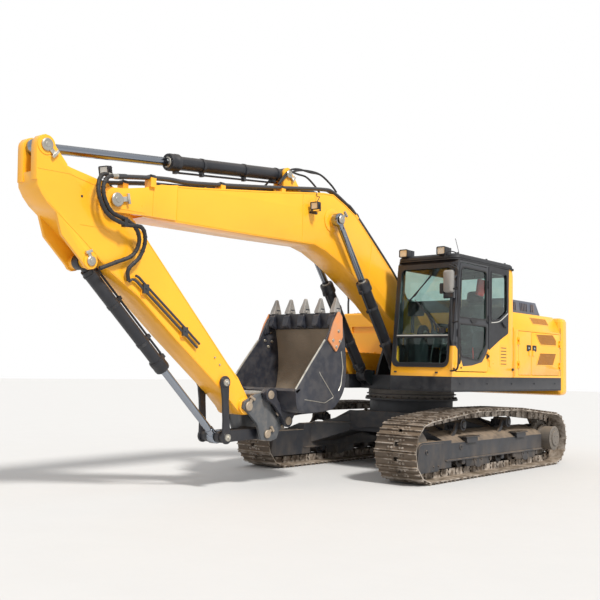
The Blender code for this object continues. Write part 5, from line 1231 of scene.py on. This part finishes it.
def boom_details():
    """Weld beads, line clamps, steel lines, the hoses on top, pin ends and work lamps."""
    made = Shape()
    bead(made, [(-5.00, 2.945), (-5.00, 3.32)], EAR_OUTER - 0.02 + 0.001, 0.004)
    bead(made, [(-5.33, 2.94), (-5.33, 3.255)], EAR_OUTER - 0.02 + 0.001, 0.004)
    bead(made, [(-2.87, 2.985), (-2.87, 3.61)], BOOM_HALF + 0.001, 0.005)
    bead(made, [(-1.45, 2.50), (-1.36, 3.17)], BOOM_HALF + 0.001, 0.004)
    bead(made, [(-5.79, 2.95), (-5.44, 2.955)], EAR_OUTER - 0.02 + 0.001, 0.004)
    for side in (-1, 1):
        low = [(-1.0, 2.20), (-1.18, 2.335), (-1.91, 2.735), (-2.10, 2.825), (-2.40, 2.945), (-2.63, 2.995),
               (-2.97, 2.985), (-3.74, 2.965), (-4.64, 2.952), (-4.98, 2.95)]
        made.tube([(side * (BOOM_HALF + 0.0005), y, z) for y, z in low], 0.004, 6)
        high = [(-0.93, 2.84), (-1.74, 3.465), (-1.97, 3.57), (-2.25, 3.675), (-2.45, 3.665), (-3.51, 3.505),
                (-4.66, 3.345), (-4.98, 3.31)]
        made.tube([(side * (BOOM_HALF + 0.0005), y, z) for y, z in high], 0.004, 6)
        made.lathe("X", LIFT_EYE, [(side * (BOOM_HALF - 0.01), 0.16), (side * (BOOM_HALF + 0.012), 0.155),
                                   (side * (BOOM_HALF + 0.02), 0.135), (side * (BOOM_HALF + 0.022), 0.10)],
                   40)
    for y, z in ((-5.36, 3.345), (-4.26, 3.475), (-3.22, 3.618), (-1.67, 3.50)):
        for side in (-1, 1):
            if y == -5.36:
                clamp(made, (side * 0.2275, y, z), 0.10, 0.11)
            elif y == -1.67:
                piece = Shape()
                clamp(piece, (0, 0, 0), 0.10, 0.07)
                made.copy(piece, Matrix.Translation((side * 0.135, y, z)) @ Matrix.Rotation(-0.66, 4, "X"))
            else:
                clamp(made, (side * 0.135, y, z), 0.10, 0.075)
    made.put("boom_beads_and_pads", "boom", [YELLOW, BLACK])

    lines = Shape()
    for side in (-1, 1):
        for x, over in ((0.115, 0.205), (0.158, 0.250)):
            path = [(side * (over if y < -5.3 else (x + over) / 2 if y < -5.0 else x), y, z) for y,
                    z in BOOM_TOP]
            lines.curve(path, 5, 0.021, 10)
            lines.rod(path[0], (side * over, -5.70, 3.286), 0.028, 6)
            lines.rod((side * x, -0.60, 2.652), path[-1], 0.028, 6)
    lines.put("boom_lines", "boom", [LINES])

    hoses = Shape()
    for side, x in ((1, 0.06), (1, 0.02), (-1, 0.06)):
        start = (side * 0.115, -3.25, 3.66)
        hoses.curve([start, (side * 0.10, -3.05, 3.80 + x), (side * 0.09, -2.86, 3.90 + x * 0.5),
                     (side * 0.10, -2.62, 3.955 - x * 0.4), (side * 0.12, -2.42, 3.93),
                     (side * 0.13, -2.22, 3.84), (side * 0.135, -2.10, 3.755)], 6, 0.013, 8)
    hoses.put("boom_top_hoses", "boom", RUBBER)

    caps = Shape()
    for side in (-1, 1):
        caps.pin_end((side * (EAR_OUTER + 0.002), *BOOM_HEAD), side, 0.072, (-5.67, 3.06))
        caps.pin_end((side * (LIFT_X + 0.056), *LIFT_EYE), side, 0.058, (-2.20, 3.42))
        caps.pin_end((side * 0.100, *ARM_BASE), side, 0.05, (-2.95, 3.78))
        caps.lathe("X", BOOM_FOOT, [(side * 0.30, 0.07), (side * 0.318, 0.062)], 24)
    caps.put("boom_pin_ends", "boom", ZINC, bevel=0.002, segments=1)

    lamps = Shape()
    lamps.rod((0.205, -2.73, 3.38), (0.30, -2.73, 3.36), 0.014)
    lamps.box((0.285, 0.315), (-2.75, -2.71), (3.345, 3.375))
    lamp(lamps, (0.30, -2.73, 3.455), (0.10, -1, -0.12), 0.058)
    lamps.tube([(-0.235, -5.45, 3.23), (-0.27, -5.50, 3.30), (-0.27, -5.55, 3.37)], 0.012)
    lamp(lamps, (-0.27, -5.56, 3.44), (0.25, -1, -0.25), 0.062)
    lamps.curve([(0.305, -2.72, 3.50), (0.30, -2.66, 3.58), (0.23, -2.62, 3.60), (0.205, -2.60, 3.66)], 5,
                0.005, 8)
    lamps.put("boom_lamps", "boom", [TRIM, LENS], bevel=0.002, segments=1)


def arm_details():
    """Weld beads, eye bosses, the bucket cylinder's pipes, pin ends and grease points."""
    made = Shape()
    bead(made, [(-6.647, 3.205), (-6.30, 3.215), (-6.193, 3.19), (-5.90, 3.14)], ARM_HALF + 0.0005, 0.004)
    bead(made, [(-6.156, 2.743), (-5.90, 2.745), (-5.80, 2.70)], ARM_HALF + 0.0005, 0.004)
    for points in ([(-5.85, 3.185), (-5.31, 2.675), (-4.75, 2.10), (-4.10, 1.43), (-3.93, 1.26)],
                   [(-6.52, 2.905), (-6.344, 2.768), (-6.15, 2.623), (-5.76, 2.322), (-5.41, 2.109),
                    (-4.92, 1.709), (-4.15, 1.125)]):
        bead(made, points, ARM_HALF + 0.0005, 0.004)
    for side in (-1, 1):
        made.lathe("X", ARM_EYE, [(side * (ARM_HALF - 0.01), 0.098), (side * (ARM_HALF + 0.008), 0.094),
                                  (side * (ARM_HALF + 0.01), 0.07)], 32)
        made.lathe("X", BUCKET_BASE, [(side * (ARM_HALF - 0.01), 0.082), (side * (ARM_HALF + 0.008), 0.078),
                                      (side * (ARM_HALF + 0.01), 0.06)], 28)
    for y, z in ((-5.36, 2.17), (-4.80, 1.755)):
        made.box((ARM_HALF - 0.002, ARM_HALF + 0.025), (y - 0.03, y + 0.03), (z - 0.05, z + 0.03))
    made.paint = 1
    pipe = smooth_path([(0.195, -5.571, 2.239), (0.195, -5.50, 2.262), (0.192, -5.36, 2.165),
                        (0.192, -4.80, 1.75), (0.19, -4.72, 1.69), (0.19, -4.60, 1.60)], 5)
    made.tube(pipe, 0.014, 10)
    made.tube([p + Vector((0, 0.035, 0.040)) for p in pipe[4:]], 0.014, 10)
    for y, z in ((-5.36, 2.165), (-4.80, 1.75)):
        made.box((ARM_HALF + 0.024, ARM_HALF + 0.052), (y - 0.028, y + 0.045), (z - 0.03, z + 0.065))
        made.bolt((ARM_HALF + 0.052, y + 0.01, z + 0.02), (1, 0, 0), 0.010)
    made.lathe("X", (-6.15, 3.02), [(ARM_HALF - 0.001, 0.014), (ARM_HALF + 0.0015, 0.013)], 14)
    made.paint = 0
    made.put("arm_beads_and_pipes", "arm", [YELLOW, LINES], bevel=0.0015, segments=1)
    caps = Shape()
    for side in (-1, 1):
        caps.pin_end((side * (ARM_HALF + 0.011), *ARM_EYE), side, 0.062, (-6.50, 3.38))
        caps.pin_end((side * (ARM_HALF + 0.011), *BUCKET_BASE), side, 0.05, (-6.05, 2.47))
    for y, z in ((-4.30, 1.50), (-4.22, 1.42)):
        caps.lathe("X", (y, z), [(ARM_HALF, 0.012), (ARM_HALF + 0.012, 0.010), (ARM_HALF + 0.020, 0.005)], 10)
    caps.put("arm_pin_ends", "arm", ZINC, bevel=0.002, segments=1)


def crossing_hoses():
    """Hose pairs round the arm's joint and from the boom's foot, baked in place and attached to no body."""
    pair = Shape()
    ferrules = Shape()
    first = [(0.250, -5.80, 3.27), (0.27, -5.93, 3.235), (0.29, -6.00, 3.13), (0.305, -5.985, 3.00),
             (0.305, -5.89, 2.885), (0.30, -5.70, 2.835), (0.29, -5.57, 2.76), (0.26, -5.51, 2.64),
             (0.23, -5.57, 2.50), (0.205, -5.76, 2.41), (0.19, -5.93, 2.335)]
    second = [(0.205, -5.80, 3.27), (0.235, -5.97, 3.26), (0.28, -6.05, 3.14), (0.30, -6.04, 3.00),
              (0.30, -5.93, 2.855), (0.305, -5.72, 2.79), (0.30, -5.52, 2.79), (0.27, -5.44, 2.67),
              (0.24, -5.475, 2.50), (0.22, -5.60, 2.36), (0.195, -5.575, 2.245)]
    for way in (first, second):
        path = smooth_path(way, 7)
        pair.tube(path, 0.021, 10)
        for k in range(8, len(path) - 6, 3):
            pair.tube([path[k].lerp(path[k + 1], 0.2), path[k].lerp(path[k + 1], 0.8)], 0.0235, 10)
        ferrules.tube([path[0], path[4]], 0.026, 6)
    pair.box((0.27, 0.325), (-5.75, -5.71), (2.765, 2.86))
    for shape, name, paint in ((pair, "arm_joint_hoses", RUBBER), (ferrules, "arm_joint_ferrules", ZINC)):
        item = shape.put(name, "boom", paint, ride=False)
        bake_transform(item)
    foot = Shape()
    for side in (-1, 1):
        for x, drop in ((0.115, 0.0), (0.158, 0.05)):
            foot.curve([(side * x, -0.52, 2.58), (side * x, -0.36, 2.46 - drop),
                        (side * x * 1.1, -0.16, 2.42 - drop), (side * x * 1.2, 0.08, 2.36 - drop),
                        (side * x * 1.3, 0.34, 2.10), (side * x * 1.3, 0.42, 1.70),
                        (side * x * 1.3, 0.44, 1.34)], 6, 0.018, 10)
    item = foot.put("boom_foot_hoses", "boom", RUBBER, ride=False)
    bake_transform(item)


def cylinder(name, base, eye, x, barrel, reach, collar, rod):
    """What one cylinder carries: gland with its bolts, weld rings, line with bands and port blocks."""
    start, stop = Vector((x, *base)), Vector((x, *eye))
    along = (stop - start).normalized()
    side = Vector((1, 0, 0))
    turn = Matrix.Translation(start) @ Matrix((side, along, side.cross(along))).transposed().to_4x4()
    made = Shape()
    made.lathe("Y", (0, 0), [(reach - 0.135, barrel + 0.001), (reach - 0.130, collar + 0.004),
                             (reach - 0.085, collar + 0.004), (reach - 0.080, collar + 0.001),
                             (reach - 0.02, collar + 0.003), (reach + 0.004, collar - 0.002),
                             (reach + 0.006, rod + 0.012)], 36)
    made.lathe("Y", (0, 0), [(0.14, barrel - 0.01), (0.145, barrel + 0.006), (0.165, barrel + 0.006),
                             (0.17, barrel - 0.01)], 32)
    made.bolt_circle("Y", (0, 0), (collar + rod) / 2 + 0.006, 8, reach + 0.003, 0.0085, pi / 8)
    lift = barrel + 0.024
    line = [(0, 0.20, barrel - 0.005), (0, 0.205, lift), (0.0, 0.26, lift + 0.006),
            (0, reach - 0.24, lift + 0.006), (0, reach - 0.16, lift + 0.004), (0, reach - 0.11, collar)]
    made.curve(line, 5, 0.012, 10)
    made.box((-0.03, 0.03), (0.18, 0.24), (barrel - 0.02, barrel + 0.03))
    made.box((-0.028, 0.028), (reach - 0.13, reach - 0.08), (collar - 0.02, collar + 0.026))
    for share in (0.38, 0.74):
        y = reach * share
        made.ring("Y", (0, 0), barrel - 0.004, barrel + 0.005, y - 0.018, y + 0.018, 32)
        made.box((-0.024, 0.024), (y - 0.02, y + 0.02), (barrel, lift + 0.026))
    made.paint = 1
    made.lathe("Y", (0, 0), [(reach + 0.004, rod + 0.010), (reach + 0.012, rod + 0.008),
                             (reach + 0.016, rod + 0.002)], 28)
    made.paint = 0
    made.placed(turn).put(f"{name}_fittings", f"{name}_barrel", [BLACK, ZINC], bevel=0.0015, segments=1)


boom_details()
arm_details()
crossing_hoses()
for side, x in (("left", LIFT_X), ("right", -LIFT_X)):
    cylinder(f"{side}_boom_cylinder", pin(f"{side}_boom_cylinder_turn"), LIFT_EYE, x, 0.075, 1.55, 0.091,
             0.045)
cylinder("arm_cylinder", pin("arm_cylinder_turn"), ARM_EYE, 0.0, 0.078, 1.92, 0.095, 0.05)
cylinder("bucket_cylinder", pin("bucket_cylinder_turn"), ROCKER_TIP, 0.0, 0.068, 1.515, 0.082, 0.042)


# ---------------------------------------------------------------- coupler and bucket
BUCKET_HALF, BUCKET_SKIN = 0.57, 0.03
HITCH_FRONT, HITCH_REAR = (-3.508, 1.08), (-3.185, 0.769)
CHEEK = [(-2.63, 2.05), (-2.50, 2.045), (-2.44, 1.82), (-2.39, 1.435), (-2.42, 1.166), (-2.53, 1.0),
         (-2.67, 0.905), (-2.95, 0.875), (-3.295, 0.895), (-3.37, 1.134), (-3.10, 1.44), (-2.81, 1.75),
         (-2.67, 1.99)]
BACK = [(-2.505, 2.06), (-2.44, 1.82), (-2.39, 1.435), (-2.42, 1.166), (-2.53, 1.0), (-2.67, 0.905),
        (-2.95, 0.875), (-3.295, 0.895), (-3.368, 1.13)]


def dog_bone(first, last, radius, waist):
    """Two round ends joined by a narrower bar."""
    first, last = Vector(first), Vector(last)
    run = (last - first).normalized()
    turn = atan2(run.y, run.x) / (2 * pi)
    across = Vector((-run.y, run.x))
    length = (last - first).length
    outline = arc(first, radius, turn + 0.14, turn + 0.86, 16)
    outline += [tuple(first + run * length * s - across * waist) for s in (0.32, 0.68)]
    outline += arc(last, radius, turn + 0.64, turn + 1.36, 16)
    outline += [tuple(first + run * length * s + across * waist) for s in (0.68, 0.32)]
    return outline


def skin(shape, curve, half, inward, low=0.0):
    """A bent plate across the bucket, on the inner side of a curve."""
    rings = []
    for i, here in enumerate(curve):
        way = (curve[min(i + 1, len(curve) - 1)] - curve[max(i - 1, 0)]).normalized()
        side = Vector((way.y, -way.x))
        a, b = here + side * low, here + side * (low + inward)
        rings.append([(-half, a.x, a.y), (half, a.x, a.y), (half, b.x, b.y), (-half, b.x, b.y)])
    shape.rings(rings)


def bucket_body():
    """The bucket's skin, cheeks and ears, its teeth, side cutters, bolts and a coat of dried earth."""
    back = smooth_path(BACK, 5)
    made = Shape()
    skin(made, back, BUCKET_HALF - 0.002, BUCKET_SKIN)
    for side in (-1, 1):
        made.side_slab(side, CHEEK, BUCKET_HALF - 0.026, BUCKET_HALF)
        made.slab("X", [(-2.64, 2.045), (-2.55, 2.06), (-2.55, 1.88), (-2.72, 1.83), (-2.69, 1.95)],
                  *sorted((side * (BUCKET_HALF - 0.045), side * (BUCKET_HALF - 0.024))))
        ear = [(-3.60, 1.10), (-3.54, 1.15), (-3.42, 1.16), (-3.33, 1.13), (-3.15, 0.89), (-2.98, 0.885),
               (-3.10, 0.74), (-3.17, 0.70), (-3.24, 0.73), (-3.27, 0.82), (-3.44, 1.01), (-3.55, 1.02)]
        made.side_slab(side, ear, 0.236, 0.274)
        made.side_slab(side, dog_bone(HITCH_FRONT, HITCH_REAR, 0.078, 0.042), 0.273, 0.312)
    made.slab("X", [(-2.60, 2.10), (-2.50, 2.10), (-2.468, 1.925), (-2.50, 1.905), (-2.555, 1.915)],
              -BUCKET_HALF, BUCKET_HALF)
    made.slab("X", [(-3.375, 1.13), (-3.30, 1.16), (-3.27, 1.145), (-3.34, 1.10)], -BUCKET_HALF, BUCKET_HALF)
    for x in (-0.40, 0.0, 0.40):
        skin(made, back[6:-8], 0.04, -0.022)
        made.points[-4 * len(back[6:-8]):] = [p + Vector((x, 0, 0))
                                              for p in made.points[-4 * len(back[6:-8]):]]
    for x in (-0.50, -0.25, 0.0, 0.25, 0.50):
        nose = rounded([(-2.675, 1.93, 0.03), (-2.575, 1.91, 0.01), (-2.46, 1.935, 0.02),
                        (-2.478, 2.10, 0.01), (-2.497, 2.165, 0.01), (-2.565, 2.165, 0.01),
                        (-2.62, 2.07, 0.02)], 3)
        made.slab("X", nose, x - 0.036, x + 0.036)
        made.slab("X", rounded([(-2.66, 1.945, 0.03), (-2.60, 1.93, 0.01), (-2.585, 2.10, 0.01),
                                (-2.625, 2.07, 0.01)], 3), x - 0.046, x + 0.046)
    made.put("bucket_shell", "bucket", BUCKET, bevel=0.005, replaces=["bucket"])

    teeth = Shape()
    for x in (-0.50, -0.25, 0.0, 0.25, 0.50):
        teeth.rings([[(x - w, y0, z), (x + w, y0, z), (x + w, y1, z), (x - w, y1, z)] for z, w, y0,
                     y1 in ((2.105, 0.039, -2.618, -2.476), (2.13, 0.038, -2.612, -2.478),
                            (2.18, 0.032, -2.592, -2.489), (2.24, 0.024, -2.565, -2.503),
                            (2.285, 0.019, -2.548, -2.514), (2.297, 0.013, -2.540, -2.521))])
        teeth.lathe("X", (-2.555, 2.125), [(x - 0.050, 0.014), (x - 0.046, 0.018), (x + 0.046, 0.018),
                                           (x + 0.050, 0.014)], 14)
    teeth.put("bucket_teeth", "bucket", TOOTH, bevel=0.005)

    cutters, bolts = Shape(), Shape()
    outline = rounded([(-2.585, 2.125, 0.02), (-2.515, 2.049, 0.01), (-2.50, 1.80, 0.01),
                       (-2.625, 1.605, 0.02), (-2.786, 1.748, 0.01), (-2.685, 1.973, 0.02)], 3)
    for side in (-1, 1):
        cutters.side_slab(side, outline, BUCKET_HALF + 0.001, BUCKET_HALF + 0.022)
        for y, z in ((-2.594, 1.87), (-2.70, 1.752), (-2.565, 1.745), (-2.632, 1.675)):
            bolts.bolt((side * (BUCKET_HALF + 0.022), y, z), (side, 0, 0), 0.0155)
            bolts.bolt((side * (BUCKET_HALF - 0.026), y, z), (-side, 0, 0), 0.0155)
        bolts.tube([(side * (BUCKET_HALF + 0.001), y, z) for y,
                    z in ((-2.93, 1.36), (-2.91, 1.33), (-2.65, 1.065), (-2.662, 1.045), (-2.816, 0.985),
                          (-3.20, 1.03))], 0.005, 6)
        bolts.tube([(side * (BUCKET_HALF - 0.013), y, z) for y,
                    z in ((-3.355, 1.15), (-3.095, 1.45), (-2.82, 1.752))], 0.011, 8)
        bolts.tube([(side * (BUCKET_HALF + 0.001), y, z) for y,
                    z in ((-2.505, 1.62), (-2.465, 1.42), (-2.50, 1.20), (-2.545, 1.13))], 0.007, 6)
    cutters.put("side_cutters", "bucket", CUTTER, bevel=0.004)
    bolts.put("bucket_bolts_and_beads", "bucket", ZINC)

    dirt = Shape()
    rows, count, wide = [], 26, BUCKET_HALF - 0.03
    for i, here in enumerate(back[3:-2]):
        way = (back[i + 4] - back[i + 2]).normalized()
        inward = Vector((way.y, -way.x))
        row = []
        for k in range(count + 1):
            x = -wide + 2 * wide * k / count
            thick = BUCKET_SKIN + 0.003 + 0.014 * max(0.0,
                                                      noise.noise(Vector((x * 5, here.x * 5, here.y * 5))) + 0.3)
            at = here + inward * thick
            row.append((x, at.x, at.y))
        low = here + inward * (BUCKET_SKIN - 0.004)
        rows.append([*row, (wide, low.x, low.y), (-wide, low.x, low.y)])
    dirt.rings(rows)
    dirt.put("dried_earth", "bucket", EARTH, angle=60)


def linkage():
    """Rocker plates with bosses, the pins' ends and the coupler's pins."""
    rocker = Shape()
    for side in (-1, 1):
        rocker.side_slab(side, dog_bone(pin("rocker_turn"), ROCKER_TIP, 0.075, 0.046), 0.176, 0.204)
        for place in (pin("rocker_turn"), ROCKER_TIP):
            rocker.lathe("X", place, [(side * 0.20, 0.066), (side * 0.212, 0.062)], 28)
    rocker.lathe("X", ROCKER_TIP, [(-0.178, 0.052), (-0.095, 0.052)], 24)
    rocker.lathe("X", ROCKER_TIP, [(0.095, 0.052), (0.178, 0.052)], 24)
    rocker.lathe("X", pin("rocker_turn"), [(-0.212, 0.036), (0.212, 0.036)], 20)
    rocker.put("rocker_plates", "rocker_links", BLACK, bevel=0.004, replaces=["rocker_links"])
    ends = Shape()
    for side in (-1, 1):
        for place in (pin("rocker_turn"), ROCKER_TIP):
            ends.lathe("X", place, [(side * 0.21, 0.044), (side * 0.228, 0.040), (side * 0.232, 0.028)], 20)
            ends.bolt((side * 0.230, *place), (side, 0, 0), 0.018)
    ends.put("rocker_pin_ends", "rocker_links", ZINC, bevel=0.001, segments=1)
    made = Shape()
    for side in (-1, 1):
        for place in (HITCH_FRONT, HITCH_REAR):
            made.lathe("X", place, [(side * 0.311, 0.052), (side * 0.323, 0.048), (side * 0.325, 0.040)], 28)
            made.lathe("X", place, [(side * 0.322, 0.018), (side * 0.328, 0.014)], 12)
        made.pin_end((side * 0.236, *pin("bucket_curl")), side, 0.056, (-3.76, 1.03))
        made.pin_end((side * 0.236, -3.477, 0.618), side, 0.050, (-3.42, 0.66))
        made.bolt((side * 0.231, -3.21, 0.70), (side, 0, 0), 0.014)
    made.put("coupler_pin_ends", "bucket", PIN_TAN, bevel=0.002, segments=1)
    rods = Shape()
    rods.lathe("X", HITCH_FRONT, [(-0.236, 0.043), (0.236, 0.043)], 28)
    rods.lathe("X", HITCH_REAR, [(-0.236, 0.043), (0.236, 0.043)], 28)
    rods.put("hitch_pins", "bucket", ZINC)


bucket_body()
linkage()


# ---------------------------------------------------------------- floor, light, camera
def stage():
    """A pale floor, a white world that lights less than it shows, and one soft sun."""
    floor = bpy.data.meshes.new("floor")
    reach = 60.0
    floor.from_pydata([(-reach, -reach, 0), (reach, -reach, 0), (reach, reach, 0), (-reach, reach, 0)], [],
                      [(0, 1, 2, 3)])
    item = bpy.data.objects.new("floor", floor)
    bpy.context.scene.collection.objects.link(item)
    item.location.z = -0.002
    floor.materials.append(painted("floor_pale", (0.60, 0.60, 0.60), 0.8, 0.01, grain=0.02))
    bpy.context.scene.view_settings.view_transform = "Standard"
    world = bpy.data.worlds.new("studio")
    bpy.context.scene.world = world
    world.use_nodes = True
    world.node_tree.nodes["Background"].inputs["Color"].default_value = (1.0, 1.0, 1.0, 1)
    seen = world.node_tree.nodes.new("ShaderNodeLightPath").outputs["Is Camera Ray"]
    strength = world.node_tree.nodes.new("ShaderNodeMapRange")
    strength.inputs["To Min"].default_value = 0.72
    strength.inputs["To Max"].default_value = 1.0
    world.node_tree.links.new(seen, strength.inputs["Value"])
    world.node_tree.links.new(strength.outputs[0], world.node_tree.nodes["Background"].inputs["Strength"])
    lamp = bpy.data.lights.new("key", "SUN")
    lamp.energy = 3.7
    lamp.angle = radians(9)
    lamp.color = (1.0, 0.97, 0.92)
    key = bpy.data.objects.new("key", lamp)
    bpy.context.scene.collection.objects.link(key)
    key.rotation_euler = Vector((1.0, -0.25, 1.05)).to_track_quat("Z", "Y").to_euler()


def camera():
    """The viewpoint: beside and in front of the cab corner, low, tipped slightly up and rolled."""
    place, yaw, pitch, roll = Vector((7.124, -11.086, 1.399)), radians(-40.17), radians(4.53), radians(1.21)
    ahead = Vector((sin(yaw) * cos(pitch), cos(yaw) * cos(pitch), sin(pitch)))
    right = ahead.cross(Vector((0, 0, 1))).normalized()
    up = right.cross(ahead)
    right, up = right * cos(roll) + up * sin(roll), up * cos(roll) - right * sin(roll)
    lens = bpy.data.cameras.new("camera")
    lens.sensor_width = 36.0
    lens.lens = 51.7
    lens.clip_end = 200
    item = bpy.data.objects.new("camera", lens)
    bpy.context.scene.collection.objects.link(item)
    turn = Matrix((right, up, -ahead)).transposed().to_4x4()
    item.matrix_world = Matrix.Translation(place + AXIS) @ turn
    bpy.context.scene.camera = item


stage()
camera()
